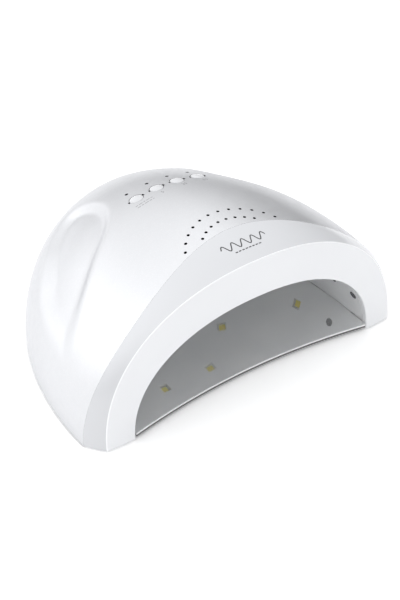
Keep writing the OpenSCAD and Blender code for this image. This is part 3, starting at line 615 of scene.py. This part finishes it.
PEARL, CAVITY_GREY = pearl_lacquer(), vacuum_metal()
# Lit and shaded copies of the one white: the band's is painted shade, the corner's a painted highlight.
GLOSS, BAND_PAINTED_SHADE_GLOSS = gloss_white("white_gloss", FACE_TONE), gloss_white("band_painted_shade", BAND_PAINTED_SHADE_TONE)
CORNER_PAINTED_HIGHLIGHT_GLOSS = gloss_white("corner_painted_highlight", CORNER_PAINTED_HIGHLIGHT_TONE)
INNER_WHITE = moulded("inner_plastic", (0.62, 0.63, 0.64), rough=(0.4, 0.55))
# Walls of the holes through the white casing, painted near-black as the shade inside them.
HOLE_PAINTED_SHADE = moulded("hole_painted_shade", (0.012, 0.012, 0.013), rough=(0.6, 0.7), Specular_IOR_Level=0.15)
STEEL = metal("steel", (0.62, 0.62, 0.63))
BOARD_GREEN = circuit("circuit_board", (0.02, 0.11, 0.045))
BLACK_EPOXY = moulded("switch_plastic", (0.03, 0.03, 0.032), rough=(0.35, 0.5), grain=1800)
NODE_FINISH = {
    "base_frame": moulded("frame_white", (0.78, 0.785, 0.79), rough=(0.3, 0.42), peel=0.02),
    "rubber_feet": moulded("foot_rubber", (0.05, 0.05, 0.052), rough=(0.7, 0.85), peel=0.05, grain=1600),
    "case_screws": STEEL,
    "frame_magnets": metal("magnet_nickel", (0.58, 0.58, 0.57), rough=(0.15, 0.3)),
    "tray_plate": sheet_with_painted_shadow(),
    "tray_mirror": mirror_sheet(),
    "tray_catches": STEEL,
    "control_board": BOARD_GREEN,
    "board_screws": STEEL,
    "tact_switches": BLACK_EPOXY,
    "indicator_lenses": moulded("light_pipe", (0.012, 0.012, 0.014), rough=(0.5, 0.6),
                                Specular_IOR_Level=0.15),
    "indicator_leds": moulded("indicator_led", (0.8, 0.78, 0.6), rough=(0.2, 0.3)),
    "timer_chip": BLACK_EPOXY,
    "led_boards": circuit("led_board", (0.6, 0.61, 0.62)),
    "led_packages": moulded("led_ivory", (0.78, 0.74, 0.6), rough=(0.3, 0.4), grain=2400),
    "sensor_windows": moulded("dark_window", (0.03, 0.03, 0.034), rough=(0.06, 0.12), coat=0.6),
    "sensor_boards": BOARD_GREEN,
    "ir_sensors": moulded("sensor_body", (0.04, 0.03, 0.05), rough=(0.1, 0.2)),
    "power_board": BOARD_GREEN,
    "power_screws": STEEL,
    "choke": winding(),
    "capacitors": sleeve(),
    "driver_chip": BLACK_EPOXY,
    "heat_sink": metal("sink_aluminium", (0.55, 0.56, 0.58), rough=(0.35, 0.5), lines=(40, 1800, 40)),
    "board_connectors": moulded("connector_ivory", (0.72, 0.68, 0.56), rough=(0.4, 0.5)),
    "dc_jack": moulded("inlet_black", (0.022, 0.022, 0.024), rough=(0.35, 0.45), grain=1500),
    "jack_pin": metal("contact_brass", (0.75, 0.6, 0.3), rough=(0.15, 0.3)),
    "jack_nut": STEEL,
    "jack_lead": moulded("lead_black", (0.02, 0.02, 0.02), rough=(0.4, 0.5)),
    "panel_lead": moulded("lead_grey", (0.3, 0.3, 0.31), rough=(0.4, 0.5)),
    "led_leads": moulded("lead_white", (0.75, 0.74, 0.7), rough=(0.4, 0.5)),
}
CAP_WHITE = moulded("cap_white", (0.62, 0.625, 0.64), rough=(0.16, 0.24), coat=0.3)
for number in range(1, 5):
    NODE_FINISH[f"switch_plunger_{number}"] = BLACK_EPOXY
for node_name, finish in NODE_FINISH.items():
    mesh = frame["nodes"][node_name].data
    mesh.materials.clear()
    mesh.materials.append(finish)


def soften_edges(node, width, segments=2, angle=40):
    """A small rounding on a CAD node's sharp edges, as a modifier over its own mesh."""
    obj = frame["nodes"][node]
    weld = obj.modifiers.new("weld", "WELD")
    weld.merge_threshold = WELD
    bevel = obj.modifiers.new("rounding", "BEVEL")
    bevel.width, bevel.segments = width, segments
    bevel.limit_method, bevel.angle_limit = "ANGLE", math.radians(angle)
    bevel.harden_normals = True


for softened, width in (("base_frame", 0.25), ("rubber_feet", 0.3), ("dc_jack", 0.3), ("jack_nut", 0.2),
                        ("tray_plate", 0.25), ("board_connectors", 0.3), ("tact_switches", 0.2)):
    soften_edges(softened, width * MM)

# ---- casing ----------------------------------------------

ARCH_COLS, SHELL_ROWS = 360, 200
press = next(j for j in frame["joints"] if j["name"] == "button_1_press")
PANEL_UP = -Vector(press["axis"]).normalized()
PANEL_X = Vector((1, 0, 0))
PANEL_BACK = PANEL_UP.cross(PANEL_X)
BUTTON_R, BUTTON_FIT = 4.2 * MM, 0.25 * MM
INDICATOR_HOLE_R = 1.1 * MM
NOTCH_REACH, NOTCH_HALF = 1.15 * MM, 1.05 * MM
SCREW_HOLE_R, SMALL_HOLE_R = 1.45 * MM, 0.95 * MM
BOSS_R, POST_R = 3.6 * MM, 2.4 * MM
VENT_R = 0.9 * MM
VENT_CENTRE_Y = FRONT_Y + 10.8 * MM
VENT_ROWS = [(34.7 * MM, 10.9, 12), (26.1 * MM, 11.9, 8)]
THROUGH = 8 * MM
SCREW_BOSS_FOOT, SCREW_HOLE_LEN = 5.5 * MM, 12 * MM
POST_FOOT, POST_AHEAD, POST_SINK, SMALL_HOLE_LEN = 2.6 * MM, 3 * MM, 1.1 * MM, 6 * MM
LENS_TIP = 0.1 * MM
JACK_FIT, JACK_CUT_START, JACK_CUT_LEN = 0.05 * MM, 4 * MM, 12 * MM
FLAT_X, FLAT_Y = (1, 0, 0), (0, 1, 0)


def button_middle(number):
    """Centre line of a button, as the point of it that lies on the casing."""
    points = np.concatenate(solids_of(f"button_{number}"))
    across, back = points @ np.array(PANEL_X), points @ np.array(PANEL_BACK)
    up = (points @ np.array(PANEL_UP)).max()
    return (PANEL_X * (across.min() + across.max()) / 2 + PANEL_BACK * (back.min() + back.max()) / 2
            + PANEL_UP * up)


def keyhole(centre):
    """Round hole with a notch at both ends."""
    r = BUTTON_R + BUTTON_FIT
    start = math.asin(NOTCH_HALF / r)
    arc = [start + (math.pi - 2 * start) * i / 20 for i in range(21)]
    half = [(r * math.cos(a), r * math.sin(a)) for a in arc]
    end = BUTTON_R + NOTCH_REACH
    ring = [(end, NOTCH_HALF), *half, (-end, NOTCH_HALF)]
    ring += [(-x, -y) for x, y in ring]
    return [centre + PANEL_X * x + PANEL_BACK * y for x, y in ring]


def vent_centres():
    """Places of the vent holes, in rows round a point behind the bezel."""
    for radius, pitch, count in VENT_ROWS:
        for i in range(count):
            a = math.radians(90 + (i - (count - 1) / 2) * pitch)
            yield radius * math.cos(a), VENT_CENTRE_Y + radius * math.sin(a)


def make_shell():
    """Casing with bosses and posts inside, and its holes for buttons, lenses, vents and inlet."""
    arch = np.linspace(0, math.pi, ARCH_COLS + 1)[None]
    share = (np.arange(SHELL_ROWS) / SHELL_ROWS)[:, None]

    def grid(inset):
        y = band_y(arch) + (BACK_Y - inset - band_y(arch)) * np.sin(share * math.pi / 2)
        return casing_point(y, arch, inset)

    shell = domed_skin("casing", grid(0), grid(WALL), (0, BACK_Y, GROUND), (0, BACK_Y - WALL, GROUND))
    # Outer skin, inner skin, edges, and hole walls painted near-black as shade.
    for finish in (PEARL, INNER_WHITE, PEARL, HOLE_PAINTED_SHADE):
        shell.data.materials.append(finish)
    bosses, cuts = [], []
    for middle in middles("case_screws"):
        x, y, low = middle[0], middle[1], SCREW_BOSS_FOOT
        reach = 1 + BOSS_R / math.hypot(x, y)
        top = float(casing_z(x * reach, y * reach)) - WALL
        bosses.append((disc((x, y, low), BOSS_R, FLAT_X, FLAT_Y), (0, 0, top - low)))
        cuts.append((disc((x, y, low - MM), SCREW_HOLE_R, FLAT_X, FLAT_Y), (0, 0, SCREW_HOLE_LEN)))
    for points in solids_of("board_screws"):
        up = points @ np.array(PANEL_UP)
        foot = Vector(points.mean(0)) + PANEL_UP * (up.min() + POST_FOOT - up.mean())
        ahead = foot.y + POST_AHEAD
        top = Vector((foot.x, ahead, float(casing_z(foot.x, ahead))))
        rise = (top - foot).dot(PANEL_UP) - POST_SINK
        bosses.append((disc(foot, POST_R, PANEL_X, PANEL_BACK), PANEL_UP * rise))
        cuts.append((disc(foot - PANEL_UP * MM, SMALL_HOLE_R, PANEL_X, PANEL_BACK),
                     PANEL_UP * SMALL_HOLE_LEN))
    for number in range(1, 5):
        cuts.append((keyhole(button_middle(number) - PANEL_UP * THROUGH), PANEL_UP * 2 * THROUGH))
    for points in solids_of("indicator_lenses"):
        up = points @ np.array(PANEL_UP)
        tip = Vector(points[up > up.max() - LENS_TIP].mean(0))
        cuts.append((disc(tip - PANEL_UP * (THROUGH / 2), INDICATOR_HOLE_R, PANEL_X, PANEL_BACK),
                     PANEL_UP * THROUGH))
    for x, y in vent_centres():
        z = float(casing_z(x, y))
        cuts.append((disc((x, y, z - THROUGH / 2), VENT_R, FLAT_X, FLAT_Y, 24), (0, 0, THROUGH)))
    jack_low, jack_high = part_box("dc_jack")
    jack = (jack_low + jack_high) / 2
    jack_r = (jack_high.x - jack_low.x) / 2 + JACK_FIT
    cuts.append((disc((0, jack_high.y - JACK_CUT_START, jack.z), jack_r, FLAT_X, (0, 0, -1), 48),
                 (0, JACK_CUT_LEN, 0)))
    combine(shell, prisms("bosses", bosses, INNER), "UNION")
    combine(shell, prisms("holes", cuts, HOLE), "DIFFERENCE")
    follow_field(shell, casing_field, OUTER)
    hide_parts("top_shell")
    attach(shell, "root")
    return shell


shell = make_shell()

# ---- button caps -----------------------------------------

CAP_STAND, CAP_EDGE, CAP_ROUND = 1.0 * MM, 0.12 * MM, 0.4 * MM
CAP_SKIRT_R, CAP_SIDES, DOME_RINGS = 5.0 * MM, 64, 7
SKIRT_MARGIN = 0.2 * MM
CAP_CREASE, BEZEL_CREASE = 50, 42


def make_cap(number):
    """A domed cap whose rim follows the casing round it, over the skirt that holds it in."""
    node = f"button_{number}"
    points = np.concatenate(solids_of(node))
    middle = button_middle(number)
    up = points @ np.array(PANEL_UP)
    low = up.min() - middle.dot(PANEL_UP)
    spread = np.linalg.norm(np.cross(points - np.array(middle), np.array(PANEL_UP)), axis=1)
    wide = spread > BUTTON_R + SKIRT_MARGIN
    skirt = (up[wide].max() if wide.any() else up.min()) - middle.dot(PANEL_UP)

    def surface(x, back):
        height = 0.0
        for _ in range(4):
            place = middle + PANEL_X * x + PANEL_BACK * back + PANEL_UP * height
            height += (float(casing_z(place.x, place.y)) - place.z) / PANEL_UP.z
        return height

    verts, faces = [middle + PANEL_UP * (surface(0, 0) + CAP_STAND)], []
    top_r = BUTTON_R - CAP_ROUND
    profile = [(top_r * k / DOME_RINGS, 0) for k in range(1, DOME_RINGS + 1)]
    profile += [(top_r + CAP_ROUND * math.sin(a), CAP_ROUND * (1 - math.cos(a)))
                for a in np.linspace(0.3, math.pi / 2, 5)]
    profile += [(BUTTON_R, "side"), (CAP_SKIRT_R, "side"), (CAP_SKIRT_R, "low")]
    for radius, drop in profile:
        for k in range(CAP_SIDES):
            a = 2 * math.pi * k / CAP_SIDES
            x, back = radius * math.cos(a), radius * math.sin(a)
            if drop == "side":
                height = skirt
            elif drop == "low":
                height = low
            else:
                dome = CAP_EDGE + (CAP_STAND - CAP_EDGE) * (1 - min(1, radius / top_r) ** 2)
                height = surface(x, back) + dome - drop
            verts.append(middle + PANEL_X * x + PANEL_BACK * back + PANEL_UP * height)
    for r in range(len(profile) - 1):
        for k in range(CAP_SIDES):
            a, b = 1 + r * CAP_SIDES + k, 1 + r * CAP_SIDES + (k + 1) % CAP_SIDES
            faces.append((a, a + CAP_SIDES, b + CAP_SIDES, b))
    faces += [(0, 1 + k, 1 + (k + 1) % CAP_SIDES) for k in range(CAP_SIDES)]
    last = 1 + (len(profile) - 1) * CAP_SIDES
    faces.append([last + k for k in range(CAP_SIDES)][::-1])
    cap = new_object(f"cap_{number}", verts, faces)
    for edge in crease_edges(cap, CAP_CREASE):
        edge.use_edge_sharp = True
    cap.data.materials.append(CAP_WHITE)
    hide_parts(node)
    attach(cap, f"push_{node}")


def crease_edges(obj, angle):
    """Edges of an object whose two faces meet more sharply than an angle in degrees."""
    bm = bmesh.new()
    bm.from_mesh(obj.data)
    found = [e.index for e in bm.edges
             if len(e.link_faces) == 2 and e.calc_face_angle() > math.radians(angle)]
    bm.free()
    return [obj.data.edges[i] for i in found]


for number in range(1, 5):
    make_cap(number)

# ---- front bezel -----------------------------------------

BEZEL_COLS = ARCH_COLS
FACE, BAND, CORNER = 0, 1, 2
EDGE_SUPPORT, BEND_STEPS = 0.12 * MM, 6


def unit(v):
    return v / np.maximum(np.linalg.norm(v, axis=-1, keepdims=True), TINY)


def make_bezel():
    """Gloss front ring: bevelled band, leaning face and a rim round the opening."""
    arch = np.linspace(0, math.pi, BEZEL_COLS + 1)
    back = np.array([0, -SEAM, 0])
    corners = [
        casing_point(band_y(arch), arch) + back,
        face_point(arch, FACE_HALF_W, FACE_H, FACE_POWER),
        face_point(arch, OPENING_HALF_W, OPENING_H, OPENING_POWER),
        face_point(arch, OPENING_HALF_W, OPENING_H, OPENING_POWER, RIM_DEPTH),
        face_point(arch, OPENING_HALF_W + BEZEL_WALL, OPENING_H + BEZEL_WALL, OPENING_POWER, RIM_DEPTH),
        face_point(arch, OPENING_HALF_W + BEZEL_WALL, OPENING_H + BEZEL_WALL, OPENING_POWER, BEZEL_WALL),
        face_point(arch, FACE_HALF_W - BEZEL_WALL / 2, FACE_H - BEZEL_WALL / 2, FACE_POWER, BEZEL_WALL),
        casing_point(band_y(arch), arch, WALL) + back,
    ]
    # Each corner's rounding, and the crown of the side that follows it.
    rounding = [0.06 * MM, 0.4 * MM, 1.0 * MM, 0.4 * MM, 0, 0, 0, 0]
    crown = [0.35 * MM, 0.2 * MM, 0, 0, 0, 0, 0, 0]
    parts = [8, 6, 1, 1, 1, 1, 1, 1]
    rows = []
    for i, p in enumerate(corners):
        before, after = corners[i - 1], corners[(i + 1) % len(corners)]
        start = p + rounding[i] * unit(before - p)
        end = p + rounding[i] * unit(after - p)
        bends = np.linspace(0, 1, BEND_STEPS) if rounding[i] else [0.0]
        rows += [(1 - t) ** 2 * start + 2 * t * (1 - t) * p + t * t * end for t in bends]
        if i == 1:
            corner_end = len(rows) - 1
            corner_start = len(rows) - len(bends)
        if parts[i] == 1:
            continue
        next_start = after + rounding[(i + 1) % len(corners)] * unit(p - after)
        length = np.linalg.norm(next_start - end, axis=-1, keepdims=True)
        support = EDGE_SUPPORT / np.maximum(length, MM)
        out = unit(np.cross(after - p, np.gradient(p, axis=0)))
        out *= np.sign((out * (p - corners[5])).sum(-1, keepdims=True))
        steps = [support] + [np.full_like(support, k / parts[i]) for k in range(1, parts[i])] + [1 - support]
        rows += [end + (next_start - end) * t + out * crown[i] * 4 * t * (1 - t) for t in steps]
    ring = len(rows)
    points = np.stack(rows, 1)
    verts = points.reshape(-1, 3)
    faces = [(s * ring + k, s * ring + (k + 1) % ring, (s + 1) * ring + (k + 1) % ring, (s + 1) * ring + k)
             for s in range(BEZEL_COLS) for k in range(ring)]
    kinds = [BAND if k < corner_start else CORNER if k < corner_end else FACE
             for s in range(BEZEL_COLS) for k in range(ring)]
    bezel = new_object("bezel", verts, faces, kinds)
    bm = bmesh.new()
    bm.from_mesh(bezel.data)
    bm.verts.ensure_lookup_table()
    last = BEZEL_COLS * ring
    caps = [bm.faces.new([bm.verts[k] for k in range(ring)][::-1]),
            bm.faces.new([bm.verts[last + k] for k in range(ring)])]
    bmesh.ops.triangulate(bm, faces=caps)
    bmesh.ops.recalc_face_normals(bm, faces=bm.faces)
    for edge in bm.edges:
        if len(edge.link_faces) == 2 and edge.calc_face_angle() > math.radians(BEZEL_CREASE):
            edge.smooth = False
    for face in bm.faces:
        face.smooth = True
    bm.to_mesh(bezel.data)
    bm.free()
    # The face takes the plain white; the band takes a darker copy as painted shade, and the rounded corner
    # between them a lighter copy as a painted highlight.
    for finish in (GLOSS, BAND_PAINTED_SHADE_GLOSS, CORNER_PAINTED_HIGHLIGHT_GLOSS):
        bezel.data.materials.append(finish)
    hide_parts("front_bezel")
    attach(bezel, "root")
    return bezel


bezel = make_bezel()

# ---- reflector and LEDs ----------------------------------

REFLECTOR_COLS, REFLECTOR_ROWS = 160, 110
CAVITY_MIDDLE = Vector((0, FRONT_Y + CAVITY_LEN / 2, 20 * MM))
LED_WINDOW = 6 * MM
WINDOW_CUT, LED_CUT_START = 8 * MM, 2.4 * MM
SENSOR_HOLE_R = 2.65 * MM


def led_axes(points):
    """Centre, inward normal and side axes of one LED package, a box with four corners each way."""
    centre = points.mean(0)
    order = np.linalg.norm(points - points[0], axis=1).argsort()
    normal = unit(points[order[1]] - points[0])
    side = unit(points[order[2]] - points[0])
    if normal @ (np.array(CAVITY_MIDDLE) - centre) < 0:
        normal = -normal
    return Vector(centre), Vector(normal), Vector(side), Vector(np.cross(normal, side))


def sensor_axis(points):
    """Centre, normal and side axes of one round sensor window."""
    centre = points.mean(0)
    normal = np.linalg.svd(points - centre)[2][2]
    side = unit(np.cross(normal, [0, 0, 1]))
    return Vector(centre), Vector(normal), Vector(side), Vector(np.cross(normal, side))


def square(centre, half, x, y):
    return [centre + x * (half * i) + y * (half * j) for i, j in ((-1, -1), (1, -1), (1, 1), (-1, 1))]


def make_reflector():
    """Thin domed lining with square windows for the LEDs and round ones for the sensors."""
    arch = np.linspace(0, math.pi, REFLECTOR_COLS + 1)[None]
    share = np.sin((np.arange(REFLECTOR_ROWS) / REFLECTOR_ROWS)[:, None] * math.pi / 2)
    outer = cavity_point((CAVITY_LEN + CAVITY_WALL) * share, arch, CAVITY_WALL)
    inner = cavity_point(CAVITY_LEN * share, arch)
    back = FRONT_Y + CAVITY_START + CAVITY_LEN
    tips = (0, back + CAVITY_WALL, CAVITY_BASE), (0, back, CAVITY_BASE)
    made = domed_skin("reflector_lining", outer, inner, *tips)
    for finish in (INNER_WHITE, CAVITY_GREY, CAVITY_GREY):
        made.data.materials.append(finish)
    cuts = []
    for points in solids_of("led_packages"):
        centre, normal, side, across = led_axes(points)
        cuts.append((square(centre - normal * LED_CUT_START, LED_WINDOW / 2, side, across),
                     normal * WINDOW_CUT))
    for points in solids_of("sensor_windows"):
        centre, normal, side, across = sensor_axis(points)
        cuts.append((disc(centre - normal * (WINDOW_CUT / 2), SENSOR_HOLE_R, side, across),
                     normal * WINDOW_CUT))
    combine(made, prisms("windows", cuts, EDGE), "DIFFERENCE")
    follow_field(made, cavity_field, INNER)
    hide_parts("reflector")
    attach(made, "root")


def make_phosphor():
    """A crowned pad of phosphor on each LED package."""
    pad_half, corner, proud, seat = 2.15 * MM, 0.5 * MM, 0.16 * MM, 0.5 * MM
    verts, faces, outline = [], [], []
    for i, j, start in ((1, 1, 0), (-1, 1, 90), (-1, -1, 180), (1, -1, 270)):
        for k in range(5):
            a = math.radians(start + 22.5 * k)
            outline.append((i * (pad_half - corner) + corner * math.cos(a),
                            j * (pad_half - corner) + corner * math.sin(a)))
    levels = [(1.0, -0.1 * MM), (1.0, 0.05 * MM), (0.95, 0.1 * MM), (0.6, proud * 0.9), (0.25, proud)]
    for points in solids_of("led_packages"):
        centre, normal, side, across = led_axes(points)
        face = centre + normal * seat
        start, n = len(verts), len(outline)
        for share, lift in levels:
            verts += [face + side * (x * share) + across * (y * share) + normal * lift for x, y in outline]
        for r in range(len(levels) - 1):
            faces += [(start + r * n + k, start + r * n + (k + 1) % n, start + (r + 1) * n + (k + 1) % n,
                       start + (r + 1) * n + k) for k in range(n)]
        faces.append([start + k for k in range(n)][::-1])
        faces.append([start + (len(levels) - 1) * n + k for k in range(n)])
    pads = new_object("phosphor_pads", verts, faces)
    pads.data.materials.append(phosphor())
    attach(pads, "root")


make_reflector()
make_phosphor()

# ---- printed marks ---------------------------------------

SIGN_INK = ink("sign_ink", (0.035, 0.035, 0.038))
LABEL_INK = ink("label_ink", (0.3, 0.3, 0.31))
INK_T, INK_LIFT, INK_STEP, INK_REACH = 0.03 * MM, 0.002 * MM, 0.5 * MM, 6 * MM
NUMERAL_H, NUMERAL_STROKE, DASH_STROKE, SIGN_STROKE = 2.2 * MM, 0.34 * MM, 0.5 * MM, 0.65 * MM
NUMERAL_ASIDE, NUMERAL_AHEAD = -1.2 * MM, 8.6 * MM
DASH_ASIDE, DASH_AHEAD, DASH_GAP = -5 * MM, 7.4 * MM, 0.7
# Lengths of the dashes beside the first button, in millimetres, by the height of their row.
DASH_ROWS = {0: (1.6, 2.4, 1.2, 2.2, 1.4), -2.2: (2.2, 1.4, 2.6, 1.6, 0.9)}
WAVE_LEN, WAVE_RISE, WAVE_LIFT, WAVE_TURNS, WAVE_STEPS = 29, 2.4, 1.2, 4.5, 160
LINE_DROP, LINE_DASH, LINE_PITCH = -3.6, 1.5, 2.2


def arc(cx, cy, rx, ry, start, end, steps=12):
    return [(cx + rx * math.cos(math.radians(a)), cy + ry * math.sin(math.radians(a)))
            for a in np.linspace(start, end, steps)]


# Numerals on a unit box, one wide and two high, as strokes.
NUMERALS = {
    "0": [arc(0.5, 1, 0.5, 1, 0, 360, 25)],
    "3": [arc(0.45, 1.5, 0.5, 0.5, 140, -90), arc(0.45, 0.5, 0.5, 0.5, 90, -140)],
    "5": [[(0.95, 2), (0.15, 2), (0.08, 1.1)] + arc(0.42, 0.62, 0.52, 0.6, 130, -145)],
    "6": [[(0.75, 2), (0.4, 1.6)] + arc(0.5, 0.6, 0.48, 0.6, 165, 525, 25)],
}


def strokes_of(text, height, gap=0.6):
    scale = height / 2
    return [[((x + i * (1 + gap)) * scale, y * scale) for x, y in stroke]
            for i, figure in enumerate(text) for stroke in NUMERALS[figure]]


def ribbons(name, strokes, width, finish, target, origin, right, up):
    """Ink strokes laid on a surface: each becomes a thin closed strip that follows it."""
    verts, faces = [], []
    normal = right.cross(up).normalized()

    def land(point):
        hit, place, facing, _ = target.ray_cast(point + normal * INK_REACH, -normal)
        return place + facing * INK_LIFT if hit else point

    for stroke in strokes:
        path = []
        for a, b in zip(stroke, stroke[1:]):
            parts = max(1, int(math.dist(a, b) / INK_STEP))
            path += [(a[0] + (b[0] - a[0]) * k / parts, a[1] + (b[1] - a[1]) * k / parts)
                     for k in range(parts)]
        path.append(stroke[-1])
        start = len(verts)
        for i, (x, y) in enumerate(path):
            ahead, behind = path[min(i + 1, len(path) - 1)], path[max(i - 1, 0)]
            dx, dy = ahead[0] - behind[0], ahead[1] - behind[1]
            size = math.hypot(dx, dy) or 1
            nx, ny = -dy / size * width / 2, dx / size * width / 2
            left = land(origin + right * (x + nx) + up * (y + ny))
            other = land(origin + right * (x - nx) + up * (y - ny))
            verts += [left, left + normal * INK_T, other + normal * INK_T, other]
        for i in range(len(path) - 1):
            k = start + 4 * i
            faces += [(k + j, k + (j + 1) % 4, k + 4 + (j + 1) % 4, k + 4 + j) for j in range(4)]
        k = start + 4 * (len(path) - 1)
        faces += [(start + 3, start + 2, start + 1, start), (k, k + 1, k + 2, k + 3)]
    mark = new_object(name, verts, faces)
    bm = bmesh.new()
    bm.from_mesh(mark.data)
    bmesh.ops.recalc_face_normals(bm, faces=bm.faces)
    bm.to_mesh(mark.data)
    bm.free()
    mark.data.polygons.foreach_set("use_smooth", np.zeros(len(mark.data.polygons), bool))
    mark.data.materials.append(finish)
    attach(mark, "root")
    return mark


def mark_buttons():
    """Plain numerals beside three buttons and two rows of dashes beside the first."""
    front, right = -PANEL_BACK, PANEL_X
    for number, text in ((2, "5"), (3, "30"), (4, "60")):
        origin = button_middle(number) + right * NUMERAL_ASIDE + front * NUMERAL_AHEAD
        ribbons(f"numeral_{number}", strokes_of(text, NUMERAL_H), NUMERAL_STROKE, LABEL_INK, shell,
                origin, right, -front)
    origin = button_middle(1) + right * DASH_ASIDE + front * DASH_AHEAD
    dashes = []
    for row, lengths in DASH_ROWS.items():
        x = 0.0
        for length in lengths:
            dashes.append([(x * MM, row * MM), ((x + length) * MM, row * MM)])
            x += length + DASH_GAP
    ribbons("dash_rows", dashes, DASH_STROKE, LABEL_INK, shell, origin, right, -front)


def mark_band():
    """A plain light-wave sign with a dashed line under it, in the middle of the band."""
    middle = np.array(math.pi / 2)
    top = Vector(casing_point(band_y(middle), middle))
    face = Vector(face_point(middle, FACE_HALF_W, FACE_H, FACE_POWER))
    up = (top - face).normalized()
    wave = [((WAVE_LEN * i / WAVE_STEPS - WAVE_LEN / 2) * MM,
             (WAVE_RISE * math.sin(2 * math.pi * WAVE_TURNS * i / WAVE_STEPS) + WAVE_LIFT) * MM)
            for i in range(WAVE_STEPS + 1)]
    line = [[(x * MM, LINE_DROP * MM), ((x + LINE_DASH) * MM, LINE_DROP * MM)]
            for x in np.arange(-8.5, 7, LINE_PITCH)]
    ribbons("wave_sign", [wave] + line, SIGN_STROKE, SIGN_INK, bezel, (top + face) / 2, PANEL_X, up)


mark_buttons()
mark_band()

# ---- floor, light and camera -----------------------------

FLOOR_HALF, FLOOR_GLOW = 3.0, 0.16
FLOOR_LOW, FLOOR_HIGH = (0.96, 0.96, 0.96, 1), (0.98, 0.98, 0.98, 1)
ROOM_TINT = (0.988, 0.992, 1, 1)
CAMERA_AZIMUTH, CAMERA_ELEVATION, CAMERA_DISTANCE = -34.848, 38.0, 0.671946
CAMERA_TARGET = (-0.012314, -0.04995, 0.04)
CAMERA_LENS, CAMERA_SENSOR = 70.72, 36


def make_floor():
    """Plain pale floor with a slow drift in tone."""
    h = FLOOR_HALF
    floor = new_object("floor", [(-h, -h, 0), (h, -h, 0), (h, h, 0), (-h, h, 0)], [(0, 1, 2, 3)])
    f = Finish("floor_pale", Roughness=0.7, Emission_Color=(1, 1, 1, 1), Emission_Strength=FLOOR_GLOW)
    f.colour(f.mix(f.span(f.noise(3), 0, 1), FLOOR_LOW, FLOOR_HIGH))
    floor.data.materials.append(f.material)


# The studio's soft white walls: elevation, azimuth from the front and strength of each broad glow.
ROOM_GLOWS = [
    (12, 0, 0.40), (12, 180, 0.74), (12, 225, 1.51), (50, 15, 0.90), (50, 135, 1.23), (50, 255, 1.11),
    (50, 315, 0.52), (90, 0, 0.77),
]
GLOW_POWER = 5


def direction(elevation, azimuth):
    """Unit vector towards an elevation and an azimuth counted from the front, both in degrees."""
    up, turn = math.radians(elevation), math.radians(azimuth)
    return Vector((math.sin(turn) * math.cos(up), -math.cos(turn) * math.cos(up), math.sin(up)))


def make_studio():
    """Soft white light from broad glows round the lamp and above it."""
    world = bpy.data.worlds.new("studio")
    bpy.context.scene.world = world
    world.use_nodes = True
    tree = world.node_tree
    place = tree.nodes.new("ShaderNodeTexCoord").outputs["Generated"]

    def maths(operation, *values):
        node = tree.nodes.new("ShaderNodeMath")
        node.operation = operation
        for socket, value in zip(node.inputs, values):
            if isinstance(value, bpy.types.NodeSocket):
                tree.links.new(value, socket)
            else:
                socket.default_value = value
        return node.outputs["Value"]

    total = 0.0
    for elevation, azimuth, strength in ROOM_GLOWS:
        facing = tree.nodes.new("ShaderNodeVectorMath")
        facing.operation = "DOT_PRODUCT"
        facing.inputs[1].default_value = direction(elevation, azimuth)
        tree.links.new(place, facing.inputs[0])
        glow = maths("POWER", maths("MAXIMUM", facing.outputs["Value"], 0.0), GLOW_POWER)
        total = maths("MULTIPLY_ADD", glow, strength, total)
    tree.links.new(total, tree.nodes["Background"].inputs["Strength"])
    tree.nodes["Background"].inputs["Color"].default_value = ROOM_TINT
    bpy.context.scene.view_settings.view_transform = "Standard"


def make_camera():
    back = direction(CAMERA_ELEVATION, CAMERA_AZIMUTH)
    data = bpy.data.cameras.new("camera")
    data.lens, data.sensor_width = CAMERA_LENS, CAMERA_SENSOR
    data.clip_start, data.clip_end = 0.01, 20
    camera = bpy.data.objects.new("camera", data)
    bpy.context.scene.collection.objects.link(camera)
    camera.location = Vector(CAMERA_TARGET) + back * CAMERA_DISTANCE
    camera.rotation_mode = "QUATERNION"
    camera.rotation_quaternion = (-back).to_track_quat("-Z", "Y")
    bpy.context.scene.camera = camera


make_floor()
make_studio()
make_camera()
